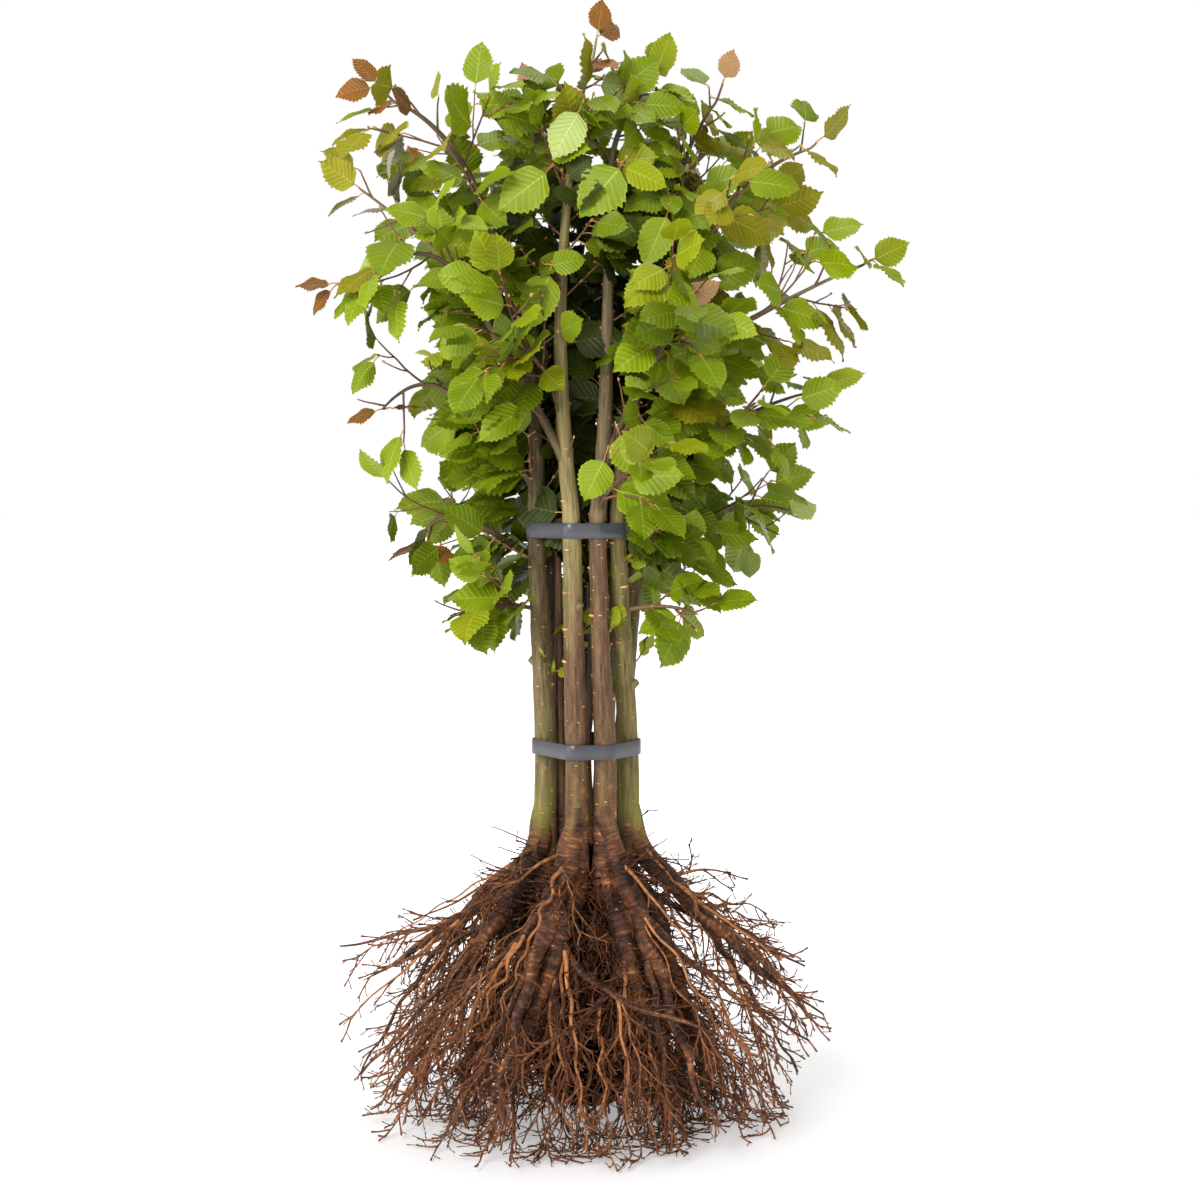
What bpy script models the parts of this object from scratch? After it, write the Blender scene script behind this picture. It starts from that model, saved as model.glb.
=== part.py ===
"""A tied bundle of eight bare-rooted hedging saplings, standing upright on their roots.

Eight slender stems rise in a ring from one heart of roots, held by two flat bands. Above the upper
band they open like a vase. Each stem and each bough ends where it enters a mass of foliage, and
each main root ends where it enters a mass of finer roots.

Metres, +Z up. The front is -Y. Azimuths are in degrees: 0 at the front, 90 at the right (+X).
The origin is the middle of the flat underside of the root heart.
"""
import math
import random
from collections import namedtuple

import bmesh
import bpy
import numpy as np
from mathutils import Vector
from mathutils.bvhtree import BVHTree

# ------------------------------------------------------------------ driving dimensions (metres)
HEIGHT = 1.20                 # floor to the tip of the highest leaf
GAP = 0.0003                  # clear space between solids that touch
SEED = 41
GOLDEN_ANGLE = math.radians(137.5)

HEART_TOP = 0.268             # where the feet of the stems sit on the root heart
HEART_SIDES = 24
HEART_RIDGES = 8              # bundles of roots that stand out down the sides of the heart
# Height against radius of the root heart, measured to the crest of its ridges.
HEART_PROFILE = ((0.0, 0.134), (0.014, 0.140), (0.05, 0.134), (0.10, 0.121), (0.15, 0.103),
                 (0.20, 0.086), (0.24, 0.073), (HEART_TOP, 0.0615))

RING = 0.0452                 # radius of the ring of stems, from their feet to the lower band
LOWER_BAND_HEIGHT = 0.412
UPPER_BAND_HEIGHT = 0.646
UPPER_RING = 0.0550           # and at the upper band
BAND_WIDTH = 0.016
BAND_THICKNESS = 0.0012
BAND_CORNER_SPACING = 0.0055
BAND_CLEARANCE = 0.0009       # from the widest stems, with room for the corners of its outline

LEAF_LENGTH = 0.082           # larger than life, as the solids carry fewer leaves than the plant
LEAF_WIDTH = 0.064
LEAF_THICKNESS = 0.0020
LEAF_SPACE = 0.0052           # the least distance between the points that two leaves claim
TWIG_SPACE = 0.0060
LIMB_SPACE = 0.0035

ROOT_REACH_X = 0.273          # how far the roots spread to the sides
ROOT_REACH_Y = 0.215          # and to the front and back
ROOT_FLOOR = 0.0035           # no fine root hangs lower than this

# Height against radius of a full-sized stem, from its foot to the tip of the tallest.
STEM_PROFILE = ((HEART_TOP, 0.0142), (0.33, 0.0132), (LOWER_BAND_HEIGHT, 0.0122),
                (UPPER_BAND_HEIGHT, 0.0094), (0.85, 0.0066), (1.02, 0.0040))

# stem: size, azimuth at the lower band, at the upper band and at the tip, radius and height of
# the tip, how late it bends outwards, and how far it bows sideways on the way up
STEMS = {
    "stem_left": (1.00, -92, -76, -75, 0.119, 1.000, 3.0, 0.000),
    "stem_front": (1.00, -15, -16, -22, 0.050, 1.000, 1.0, -0.011),
    "stem_front_right": (0.95, 25, 12, 40, 0.036, 1.000, 1.0, 0.004),
    "stem_right": (0.90, 85, 36, 76, 0.124, 0.945, 2.0, 0.000),
    "stem_right_slim": (0.72, 120, 84, 92, 0.085, 0.958, 1.5, 0.004),
    "stem_back_right": (0.92, 155, 150, 137, 0.150, 0.920, 1.8, 0.000),
    "stem_back": (0.88, 190, 190, 196, 0.085, 0.975, 1.4, 0.006),
    "stem_back_left": (0.85, 225, 222, 229, 0.145, 0.930, 1.8, 0.000),
}

# bough: the stem it leaves, the height where it leaves, and azimuth, radius and height of its tip
BOUGHS = {
    "bough_left_fork": ("stem_front", 0.716, -61, 0.147, 0.904),
    "bough_left_rising": ("stem_left", 0.840, -100, 0.166, 0.947),
    "bough_left_middle": ("stem_left", 0.690, -92, 0.145, 0.790),
    "bough_left_low": ("stem_back_left", 0.592, -114, 0.145, 0.655),
    "bough_front_right": ("stem_front_right", 0.706, 38, 0.112, 0.818),
    "bough_right_high": ("stem_right", 0.785, 79, 0.172, 0.866),
    "bough_right_middle": ("stem_right_slim", 0.690, 82, 0.132, 0.748),
    "bough_right_low": ("stem_back_right", 0.600, 119, 0.142, 0.655),
    "bough_back_right": ("stem_back_right", 0.730, 147, 0.172, 0.800),
    "bough_back_left": ("stem_back_left", 0.715, 216, 0.168, 0.800),
    "bough_back_middle": ("stem_back", 0.655, 181, 0.136, 0.730),
}

# mass of foliage: what carries it, the height where it leaves a stem (None for the tip of the
# limb), azimuth, radius and height of its furthest leaf tip, and the reach of its side twigs
FOLIAGE = {
    "foliage_top": ("stem_front", None, 20, 0.055, 1.200, 0.075),
    "foliage_top_inner": ("stem_front_right", None, 78, 0.092, 1.172, 0.075),
    "foliage_top_left": ("stem_left", None, -78, 0.250, 1.140, 0.090),
    "foliage_top_right": ("stem_right", None, 84, 0.285, 1.090, 0.090),
    "foliage_upper_right": ("stem_right_slim", None, 97, 0.162, 1.165, 0.080),
    "foliage_top_back_right": ("stem_back_right", None, 137, 0.285, 1.070, 0.095),
    "foliage_top_back": ("stem_back", None, 215, 0.125, 1.165, 0.085),
    "foliage_top_back_left": ("stem_back_left", None, 228, 0.285, 1.085, 0.095),
    "foliage_left_upper": ("bough_left_fork", None, -74, 0.312, 0.900, 0.085),
    "foliage_left_rising": ("bough_left_rising", None, -97, 0.293, 1.050, 0.085),
    "foliage_left_middle": ("bough_left_middle", None, -91, 0.262, 0.768, 0.090),
    "foliage_left_low": ("bough_left_low", None, -105, 0.232, 0.612, 0.090),
    "foliage_front_right": ("bough_front_right", None, 37, 0.215, 0.920, 0.090),
    "foliage_right_high": ("bough_right_high", None, 88, 0.350, 0.955, 0.090),
    "foliage_right_middle": ("bough_right_middle", None, 80, 0.296, 0.815, 0.090),
    "foliage_right_low": ("bough_right_low", None, 99, 0.283, 0.672, 0.090),
    "foliage_back_right": ("bough_back_right", None, 143, 0.305, 0.855, 0.095),
    "foliage_back_left": ("bough_back_left", None, 222, 0.305, 0.855, 0.095),
    "foliage_back_middle": ("bough_back_middle", None, 181, 0.275, 0.790, 0.095),
    "foliage_front_middle": ("stem_front_right", 0.668, 10, 0.195, 0.765, 0.075),
    "foliage_front_left": ("stem_front", 0.800, -33, 0.200, 0.945, 0.085),
    "foliage_skirt_left": ("stem_left", 0.560, -72, 0.190, 0.556, 0.080),
    "foliage_skirt_right": ("stem_right", 0.560, 72, 0.168, 0.556, 0.080),
    "foliage_skirt_back": ("stem_back", 0.560, 183, 0.180, 0.585, 0.080),
}

# outline of the crown: height, and its reach to the left, to the right, and to front and back
CROWN = ((0.490, 0.100, 0.090, 0.100), (0.580, 0.200, 0.175, 0.190), (0.640, 0.240, 0.240, 0.215),
         (0.700, 0.255, 0.280, 0.240), (0.800, 0.268, 0.280, 0.260), (0.900, 0.305, 0.325, 0.265),
         (0.960, 0.285, 0.350, 0.260), (1.040, 0.290, 0.275, 0.245), (1.090, 0.290, 0.280, 0.225),
         (1.140, 0.240, 0.200, 0.190), (HEIGHT, 0.100, 0.100, 0.110))

# main root: the stem it leaves, the height where it leaves, and azimuth, radius and height of its tip
MAIN_ROOTS = {
    "root_left": ("stem_left", 0.325, -70, 0.178, 0.130),
    "root_front_left": ("stem_front", 0.315, -31, 0.170, 0.100),
    "root_front_right": ("stem_front_right", 0.318, 44, 0.165, 0.090),
    "root_right": ("stem_right", 0.325, 83, 0.186, 0.190),
    "root_back_right": ("stem_back_right", 0.318, 137, 0.165, 0.110),
    "root_back": ("stem_back", 0.315, 187, 0.168, 0.105),
    "root_back_left": ("stem_back_left", 0.322, 250, 0.178, 0.205),
}

# mass of roots: the main root that carries it, azimuth, radius and height of its furthest tip
ROOT_MASSES = {
    "root_mass_left": ("root_left", -62, 0.262, 0.012),
    "root_mass_front_left": ("root_front_left", -14, 0.212, 0.006),
    "root_mass_front_right": ("root_front_right", 38, 0.240, 0.010),
    "root_mass_right": ("root_right", 88, 0.272, 0.085),
    "root_mass_back_right": ("root_back_right", 130, 0.245, 0.012),
    "root_mass_back": ("root_back", 184, 0.212, 0.010),
    "root_mass_back_left": ("root_back_left", 258, 0.270, 0.130),
}

COLOURS = {
    "bark": (0.150, 0.108, 0.068, 1.0),
    "leaf": (0.125, 0.245, 0.035, 1.0),
    "root": (0.170, 0.075, 0.028, 1.0),
    "heart": (0.045, 0.022, 0.012, 1.0),
    "band": (0.085, 0.088, 0.105, 1.0),
}


# ------------------------------------------------------------------ scene and object helpers
def clear_scene():
    for thing in list(bpy.data.objects):
        bpy.data.objects.remove(thing, do_unlink=True)


def new_collection(name):
    collection = bpy.data.collections.new(name)
    bpy.context.scene.collection.children.link(collection)
    return collection


def add_object(name, data, collection):
    thing = bpy.data.objects.new(name, data)
    collection.objects.link(thing)
    return thing


def as_guide(thing):
    """Cutters and profiles are drawn as wire and never rendered."""
    thing.hide_render = True
    thing.display_type = "WIRE"


def evaluated_mesh(thing, name):
    bpy.context.view_layer.update()
    depsgraph = bpy.context.evaluated_depsgraph_get()
    mesh = bpy.data.meshes.new_from_object(thing.evaluated_get(depsgraph))
    mesh.name = name
    return mesh


def drop(thing):
    data = thing.data
    bpy.data.objects.remove(thing, do_unlink=True)
    if isinstance(data, bpy.types.Mesh):
        bpy.data.meshes.remove(data)
    else:
        bpy.data.curves.remove(data)


def paint(thing, kind, roughness=0.7):
    material = bpy.data.materials.new(thing.name)
    material.use_nodes = True
    shader = material.node_tree.nodes["Principled BSDF"]
    shader.inputs["Base Color"].default_value = COLOURS[kind]
    shader.inputs["Roughness"].default_value = roughness
    shader.inputs["Metallic"].default_value = 0.0
    material.diffuse_color = COLOURS[kind]
    thing.data.materials.clear()
    thing.data.materials.append(material)


# ------------------------------------------------------------------ paths
def around(azimuth, radius, height):
    angle = math.radians(azimuth)
    return Vector((radius * math.sin(angle), -radius * math.cos(angle), height))


def mix(low, high, share):
    return low + (high - low) * share


def stem_radius(name, height):
    size = STEMS[name][0]
    heights, radii = zip(*STEM_PROFILE)
    return size * float(np.interp(height, heights, radii))


def stem_point(name, height):
    """Centre of a stem at a height: a ring up to the upper band, then a vase."""
    _, low, high, tip, tip_radius, tip_height, lateness, bow = STEMS[name]
    lower = around(low, RING, height)
    upper = around(high, UPPER_RING, height)
    if height <= LOWER_BAND_HEIGHT:
        return lower
    if height <= UPPER_BAND_HEIGHT:
        share = (height - LOWER_BAND_HEIGHT) / (UPPER_BAND_HEIGHT - LOWER_BAND_HEIGHT)
        return lower.lerp(upper, share)
    share = (height - UPPER_BAND_HEIGHT) / (tip_height - UPPER_BAND_HEIGHT)
    point = upper.lerp(around(tip, tip_radius, height), share ** lateness)
    return point + around(high + 90, bow * math.sin(math.pi * share), 0.0)


def stem_path(name, steps=5):
    """Points up a stem: its foot, both bands, a point half way between, and steps to the tip."""
    tip_height = STEMS[name][5]
    heights = [HEART_TOP + GAP, 0.335, LOWER_BAND_HEIGHT,
               (LOWER_BAND_HEIGHT + UPPER_BAND_HEIGHT) / 2]
    heights += [mix(UPPER_BAND_HEIGHT, tip_height, i / steps) for i in range(steps + 1)]
    return [stem_point(name, height) for height in heights]


def bent_path(start, knee, end, steps):
    """Points on a quadratic curve from start to end, drawn towards knee."""
    shares = [i / steps for i in range(steps + 1)]
    return [start * (1 - s) ** 2 + knee * (2 * s * (1 - s)) + end * s ** 2 for s in shares]


def bough_path(name, steps=4):
    stem, height, azimuth, radius, tip_height = BOUGHS[name]
    start = stem_point(stem, height)
    end = around(azimuth, radius, tip_height)
    knee = start.lerp(end, 0.45) + Vector((0, 0, 0.012))
    return bent_path(start, knee, end, steps)


def root_path(name, steps=5):
    stem, height, azimuth, radius, tip_height = MAIN_ROOTS[name]
    start = stem_point(stem, height)
    end = around(azimuth, radius, tip_height)
    knee = around(azimuth, 0.098, mix(height, tip_height, 0.12))
    return bent_path(start, knee, end, steps)


def sampled(points, step=0.005):
    """Points along a path, no further apart than the step."""
    result = []
    for first, second in zip(points, points[1:]):
        count = max(1, math.ceil((second - first).length / step))
        result += [first.lerp(second, i / count) for i in range(count)]
    return result + [points[-1]]


# ------------------------------------------------------------------ tubes
def profile_curve(sides, collection):
    """A closed unit polygon, the cross-section of the three-sided twigs."""
    curve = bpy.data.curves.new("profile", "CURVE")
    curve.dimensions = "2D"
    spline = curve.splines.new("POLY")
    spline.points.add(sides - 1)
    for i, point in enumerate(spline.points):
        angle = 2 * math.pi * i / sides
        point.co = (math.cos(angle), math.sin(angle), 0.0, 1.0)
    spline.use_cyclic_u = True
    thing = add_object("profile", curve, collection)
    as_guide(thing)
    return thing


def tube(name, points, radii, collection, sides=8, profile=None):
    """A closed tapering tube along the points, as a mesh object."""
    curve = bpy.data.curves.new(name, "CURVE")
    curve.dimensions = "3D"
    curve.use_fill_caps = True
    if profile:
        curve.bevel_mode = "OBJECT"
        curve.bevel_object = profile
    else:
        curve.bevel_depth = 1.0
        curve.bevel_resolution = (sides - 4) // 2
    spline = curve.splines.new("POLY")
    spline.points.add(len(points) - 1)
    for point, place, radius in zip(spline.points, points, radii):
        point.co = (*place, 1.0)
        point.radius = radius
    path = add_object(name + "_path", curve, collection)
    mesh = evaluated_mesh(path, name)
    drop(path)
    bm = bmesh.new()
    bm.from_mesh(mesh)
    bmesh.ops.remove_doubles(bm, verts=bm.verts, dist=0.000001)
    finish_solid(bm, mesh)
    return add_object(name, mesh, collection)


def finish_solid(bm, mesh):
    """Write the closed surface to the mesh with its faces pointing outwards."""
    bmesh.ops.recalc_face_normals(bm, faces=bm.faces)
    if bm.calc_volume(signed=True) < 0:
        bmesh.ops.reverse_faces(bm, faces=bm.faces)
    bm.to_mesh(mesh)
    bm.free()


def cut_from(thing, cutter):
    """Boolean difference, applied."""
    modifier = thing.modifiers.new("saddle", "BOOLEAN")
    modifier.operation = "DIFFERENCE"
    modifier.solver = "EXACT"
    modifier.object = cutter
    mesh = evaluated_mesh(thing, thing.name)
    old = thing.data
    thing.modifiers.clear()
    thing.data = mesh
    bpy.data.meshes.remove(old)


def fuse_collection(thing, others):
    """Boolean union with all the objects of a collection, applied; the collection is emptied."""
    modifier = thing.modifiers.new("fuse", "BOOLEAN")
    modifier.operation = "UNION"
    modifier.operand_type = "COLLECTION"
    modifier.collection = others
    for solver in ("EXACT", "MANIFOLD"):
        modifier.solver = solver
        mesh = evaluated_mesh(thing, thing.name)
        if keep_largest_body(mesh):
            break
    old = thing.data
    thing.modifiers.clear()
    thing.data = mesh
    bpy.data.meshes.remove(old)
    for other in list(others.objects):
        drop(other)


def keep_largest_body(mesh):
    """Drop loose scraps. True where the rest is closed and nothing of any size was dropped."""
    bm = bmesh.new()
    bm.from_mesh(mesh)
    bmesh.ops.remove_doubles(bm, verts=bm.verts, dist=0.000001)
    bmesh.ops.dissolve_limit(bm, angle_limit=0.0005, verts=bm.verts, edges=bm.edges)
    bmesh.ops.triangulate(bm, faces=bm.faces)
    left = set(bm.faces)
    bodies = []
    while left:
        queue = [left.pop()]
        body = []
        while queue:
            face = queue.pop()
            body.append(face)
            for edge in face.edges:
                for other in edge.link_faces:
                    if other in left:
                        left.remove(other)
                        queue.append(other)
        bodies.append(body)
    bodies.sort(key=len)
    scraps = [face for body in bodies[:-1] for face in body]
    bmesh.ops.delete(bm, geom=scraps, context="FACES")
    closed = all(len(edge.link_faces) == 2 for edge in bm.edges)
    bm.to_mesh(mesh)
    bm.free()
    return closed and len(scraps) < 8


# ------------------------------------------------------------------ stems, boughs and main roots
def build_stems(parts, cutters):
    swollen = {}
    for name in STEMS:
        path = stem_path(name)
        radii = [stem_radius(name, point.z) for point in path]
        stem = tube(name, path, radii, parts, sides=8)
        paint(stem, "bark")
        longer = [path[0] - Vector((0, 0, 0.01))] + path[1:]
        wider = [radius + GAP for radius in radii]
        swollen[name] = tube(name + "_cutter", longer, wider, cutters, sides=8)
        as_guide(swollen[name])
    return swollen


def bough_radii(name, steps=4):
    stem, height = BOUGHS[name][:2]
    first = max(0.0044, 0.58 * stem_radius(stem, height))
    return [mix(first, 0.0031, i / steps) for i in range(steps + 1)]


def root_radii(name, steps=5):
    stem = MAIN_ROOTS[name][0]
    first = 0.0108 * STEMS[stem][0]
    return [mix(first, 0.0046, i / steps) for i in range(steps + 1)]


def build_limbs(table, path_of, radii_of, kind, swollen, parts):
    """Limbs that leave a stem's middle, cut back to a saddle on its bark."""
    for name in table:
        limb = tube(name, path_of(name), radii_of(name), parts, sides=6)
        cut_from(limb, swollen[table[name][0]])
        paint(limb, kind)


# ------------------------------------------------------------------ bands
def convex_outline(points):
    """Corners of the smallest convex outline round flat points, anticlockwise."""
    points = sorted(points)

    def half(sequence):
        chain = []
        for p in sequence:
            while len(chain) > 1 and turn(chain[-2], chain[-1], p) <= 0:
                chain.pop()
            chain.append(p)
        return chain[:-1]

    return half(points) + half(points[::-1])


def turn(a, b, c):
    return (b[0] - a[0]) * (c[1] - a[1]) - (b[1] - a[1]) * (c[0] - a[0])


def band_outline(height, clearance, directions=48):
    """The outline that a band pulls tight round the stems, at a clearance from their bark."""
    corners = []
    for name in STEMS:
        reach = stem_radius(name, height - BAND_WIDTH / 2) + clearance
        for level in (height - BAND_WIDTH / 2, height + BAND_WIDTH / 2):
            centre = stem_point(name, level)
            for i in range(directions):
                angle = 2 * math.pi * i / directions
                corners.append((centre.x + reach * math.cos(angle),
                                centre.y + reach * math.sin(angle)))
    outline = convex_outline(corners)
    thinned = [outline[0]]
    for corner, following in zip(outline[1:], outline[2:] + outline[:1]):
        if max(math.dist(corner, thinned[-1]), math.dist(corner, following)) > BAND_CORNER_SPACING:
            thinned.append(corner)
    return thinned


def build_band(name, height, parts):
    curve = bpy.data.curves.new(name, "CURVE")
    curve.dimensions = "2D"
    curve.fill_mode = "BOTH"
    curve.extrude = BAND_WIDTH / 2
    for clearance in (BAND_CLEARANCE, BAND_CLEARANCE + BAND_THICKNESS):
        outline = band_outline(height, clearance)
        spline = curve.splines.new("POLY")
        spline.points.add(len(outline) - 1)
        for point, corner in zip(spline.points, outline):
            point.co = (*corner, 0.0, 1.0)
        spline.use_cyclic_u = True
    outline_object = add_object(name + "_outline", curve, parts)
    outline_object.location.z = height
    mesh = evaluated_mesh(outline_object, name)
    drop(outline_object)
    bm = bmesh.new()
    bm.from_mesh(mesh)
    bmesh.ops.remove_doubles(bm, verts=bm.verts, dist=0.000001)
    finish_solid(bm, mesh)
    band = add_object(name, mesh, parts)
    band.location.z = height
    paint(band, "band", roughness=0.4)
    return band


# ------------------------------------------------------------------ space that is already taken
Plot = namedtuple("Plot", "parts scraps profile space territory surface")


class Space:
    """The points that limbs, twigs and leaves claim, each with the name of its owner."""

    def __init__(self):
        self.points = np.zeros((0, 3))
        self.owners = np.zeros(0, dtype=int)
        self.names = []

    def owner(self, name):
        if name not in self.names:
            self.names.append(name)
        return self.names.index(name)

    def claim(self, points, name):
        array = np.array([tuple(p) for p in points])
        self.points = np.vstack([self.points, array])
        self.owners = np.append(self.owners, np.full(len(array), self.owner(name)))

    def clear(self, points, distance, ignoring=()):
        """Whether every point is at least the distance from what others have claimed."""
        skip = [self.owner(name) for name in ignoring]
        others = self.points[~np.isin(self.owners, skip)]
        if not len(others):
            return True
        array = np.array([tuple(p) for p in points])
        near = others[np.all((others > array.min(axis=0) - distance)
                             & (others < array.max(axis=0) + distance), axis=1)]
        if not len(near):
            return True
        gaps = np.linalg.norm(near[None, :, :] - array[:, None, :], axis=2)
        return gaps.min() > distance


class Territory:
    """Shares the space among masses: a place belongs to the mass whose axis is nearest."""

    def __init__(self):
        self.points = np.zeros((0, 3))
        self.names = []

    def add(self, name, axis):
        fine = sampled(axis, 0.008)
        self.points = np.vstack([self.points, np.array([tuple(p) for p in fine])])
        self.names += [name] * len(fine)

    def holds(self, name, points, margin=0.002):
        own = np.array([n == name for n in self.names])
        if own.all():
            return True
        array = np.array([tuple(p) for p in points])
        gaps = np.linalg.norm(self.points[None, :, :] - array[:, None, :], axis=2)
        return bool(np.all(gaps[:, own].min(axis=1) + margin < gaps[:, ~own].min(axis=1)))


def limb_surface(collection):
    """One search tree over the surfaces of all limbs and bands."""
    verts = []
    faces = []
    for thing in collection.objects:
        offset = len(verts)
        verts += [thing.matrix_world @ vert.co for vert in thing.data.vertices]
        faces += [[offset + i for i in face.vertices] for face in thing.data.polygons]
    return BVHTree.FromPolygons(verts, faces)


def off_limbs(surface, points, distance):
    return all(surface.find_nearest(point, distance)[0] is None for point in points)


def inside_crown(points):
    """Whether all points lie within the oval outline of the crown at their own height."""
    heights, left, right, depth = zip(*CROWN)
    for p in points:
        if not heights[0] < p.z < heights[-1]:
            return False
        side = float(np.interp(p.z, heights, left if p.x < 0 else right))
        front = float(np.interp(p.z, heights, depth))
        if abs(p.x / side) ** 3 + abs(p.y / front) ** 3 > 1.0:
            return False
    return True


# ------------------------------------------------------------------ twigs and leaves
def wander(rng, amount):
    return Vector((rng.uniform(-amount, amount) for _ in range(3)))


def side_direction(axis, turn_angle, spread):
    """A direction that leaves the axis at the spread angle, turned round it."""
    axis = axis.normalized()
    across = axis.cross(Vector((0, 0, 1)))
    if across.length < 0.1:
        across = axis.cross(Vector((0, 1, 0)))
    across.normalize()
    upward = across.cross(axis)
    sideways = across * math.cos(turn_angle) + upward * math.sin(turn_angle)
    return (axis * math.cos(spread) + sideways * math.sin(spread)).normalized()


def path_length(path):
    return sum((second - first).length for first, second in zip(path, path[1:]))


def along(path, share):
    """The point and direction at a share of the way along a path."""
    place = share * (len(path) - 1)
    index = min(int(place), len(path) - 2)
    step = path[index + 1] - path[index]
    return path[index] + step * (place - index), step.normalized()


def leaf_frame(direction, roll):
    """Across and normal directions of a leaf blade that hangs face up, turned by the roll."""
    across = direction.cross(Vector((0, 0, 1)))
    if across.length < 0.05:
        across = Vector((1, 0, 0))
    across.normalize()
    normal = across.cross(direction).normalized()
    turned = across * math.cos(roll) + normal * math.sin(roll)
    return turned, turned.cross(direction).normalized()


def leaf_points(base, direction, roll, length, width):
    """Points over a leaf's diamond, which stand for the space that it takes."""
    across, _ = leaf_frame(direction, roll)
    points = []
    for share in (0.14, 0.26, 0.38, 0.50, 0.62, 0.76, 0.88, 1.0):
        half = 0.5 * width * min(share / 0.44, (1 - share) / 0.56)
        count = max(1, math.ceil(2 * half / 0.009))
        for i in range(count + 1):
            offset = mix(-half, half, i / count)
            points.append(base + direction * (share * length) + across * offset)
    return points


def leaf_object(name, base, direction, roll, length, width, collection):
    """A lozenge blade of eight faces, thickest near its root."""
    bm = bmesh.new()
    bmesh.ops.create_uvsphere(bm, u_segments=4, v_segments=2, radius=1.0)
    across, normal = leaf_frame(direction, roll)
    for vert in bm.verts:
        x, y, z = vert.co
        if abs(z) > 0.5:
            share = 0.0 if z < 0 else 1.0
        elif abs(y) > 0.5:
            share = 0.16
        else:
            share = 0.44
        vert.co = (base + direction * (share * length) + across * (x * width / 2)
                   + normal * (y * LEAF_THICKNESS / 2))
    mesh = bpy.data.meshes.new(name)
    finish_solid(bm, mesh)
    return add_object(name, mesh, collection)


def mass_axis(name):
    """The main twig of a mass of foliage, from just clear of its carrier."""
    carrier, height, azimuth, radius, tip_height, _ = FOLIAGE[name]
    end = around(azimuth, radius, tip_height)
    if height is None:
        path = stem_path(carrier) if carrier in STEMS else bough_path(carrier)
        heading = (path[-1] - path[-2]).normalized()
        start = path[-1] + heading * GAP
    else:
        centre = stem_point(carrier, height)
        heading = (end - centre)
        heading.z = 0.25 * heading.length
        heading.normalize()
        start = centre + heading * (stem_radius(carrier, height) + GAP + 0.0006)
    length = (end - start).length
    stop = end - (end - start).normalized() * min(0.8 * LEAF_LENGTH, 0.35 * length)
    knee = start + heading * (0.42 * length)
    return [start, start + heading * 0.012] + bent_path(start + heading * 0.012, knee, stop, 4)[1:]


def furthest_tip(name):
    _, _, azimuth, radius, height, _ = FOLIAGE[name]
    return around(azimuth, radius, height - 0.0005)


def grow_foliage(name, order, axis, plot):
    """One mass: a main twig, side twigs all round it, and leaves left and right on all of them."""
    rng = random.Random(SEED * 1000 + order)
    reach = FOLIAGE[name][5]
    radii = [mix(0.0029, 0.0016, i / (len(axis) - 1)) for i in range(len(axis))]
    main = tube(name, axis, radii, plot.parts, profile=plot.profile)
    grow_leaves(name, "main", axis, 0.0016, rng, plot)
    count = max(4, round(path_length(axis) / 0.026))
    twigs = []
    for i in range(count):
        share = mix(0.16, 0.93, (i + 0.5) / count)
        base, heading = along(axis, share)
        for attempt in range(8):
            turned = i * GOLDEN_ANGLE + rng.uniform(-0.5, 0.5) + attempt * 0.8
            way = side_direction(heading, turned, math.radians(rng.uniform(44, 62)))
            size = reach * mix(1.0, 0.55, share) * rng.uniform(0.8, 1.12) * (1 - 0.06 * attempt)
            tip = base + way * size + Vector((0, 0, 0.10 * size)) + wander(rng, 0.008)
            outside = sampled([base.lerp(tip, 0.15), tip])
            if inside_crown(outside) and is_free(name, outside, LIMB_SPACE, TWIG_SPACE, plot):
                twigs.append([base, tip])
                plot.space.claim(outside, name)
                tube(f"{name}_twig_{i}", twigs[-1], (0.0020, 0.0012), plot.scraps,
                     profile=plot.profile)
                break
    for i, twig in enumerate(twigs):
        grow_leaves(name, i, twig, 0.0014, rng, plot)
    fuse_collection(main, plot.scraps)
    paint(main, "leaf", roughness=0.5)


def grow_leaves(name, number, twig, thickness, rng, plot):
    """A leaf at the tip of a twig, and leaves in turn on its two sides."""
    is_main = number == "main"
    places = max(2, round(path_length(twig) / (0.056 if is_main else 0.036)))
    shares = [1.0] + [mix(0.15, 0.95, (i + 0.5) / places) for i in range(places)]
    for i, share in enumerate(shares):
        base, heading = along(twig, share)
        across = heading.cross(Vector((0, 0, 1)))
        across = across.normalized() if across.length > 0.05 else Vector((1, 0, 0))
        for attempt in range(16):
            side = 1 if (i + attempt) % 2 else -1
            spread = 0.25 if i == 0 else rng.uniform(0.75, 1.15)
            way = heading * math.cos(spread) + across * (side * math.sin(spread))
            way.z -= rng.uniform(0.0, 0.55) + (0.15 * attempt if attempt > 4 else 0)
            way = (way + wander(rng, 0.22 + 0.05 * attempt)).normalized()
            roll = rng.uniform(-1.0, 1.0)
            size = rng.uniform(0.86, 1.08) * (1 - 0.02 * attempt)
            furthest = is_main and i == 0 and attempt == 0
            if furthest:
                way = (furthest_tip(name) - base).normalized()
                size = (furthest_tip(name) - base).length / LEAF_LENGTH
            root = base - way * (0.6 * thickness) - heading * (0.0015 if i == 0 else 0.0)
            blade = leaf_points(root, way, roll, LEAF_LENGTH * size, LEAF_WIDTH * size)
            if ((furthest or inside_crown(blade))
                    and is_free(name, blade, LIMB_SPACE + 0.0015, LEAF_SPACE, plot)):
                plot.space.claim(blade, f"{name}_leaves")
                leaf_object(f"{name}_leaf_{number}_{i}", root, way, roll,
                            LEAF_LENGTH * size, LEAF_WIDTH * size, plot.scraps)
                break


def is_free(name, points, limb_space, item_space, plot):
    """Whether points lie in a mass's own space, clear of limbs and of all that has grown."""
    return (plot.territory.holds(name, points) and off_limbs(plot.surface, points, limb_space)
            and plot.space.clear(points, item_space, ignoring=(name,)))


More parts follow.
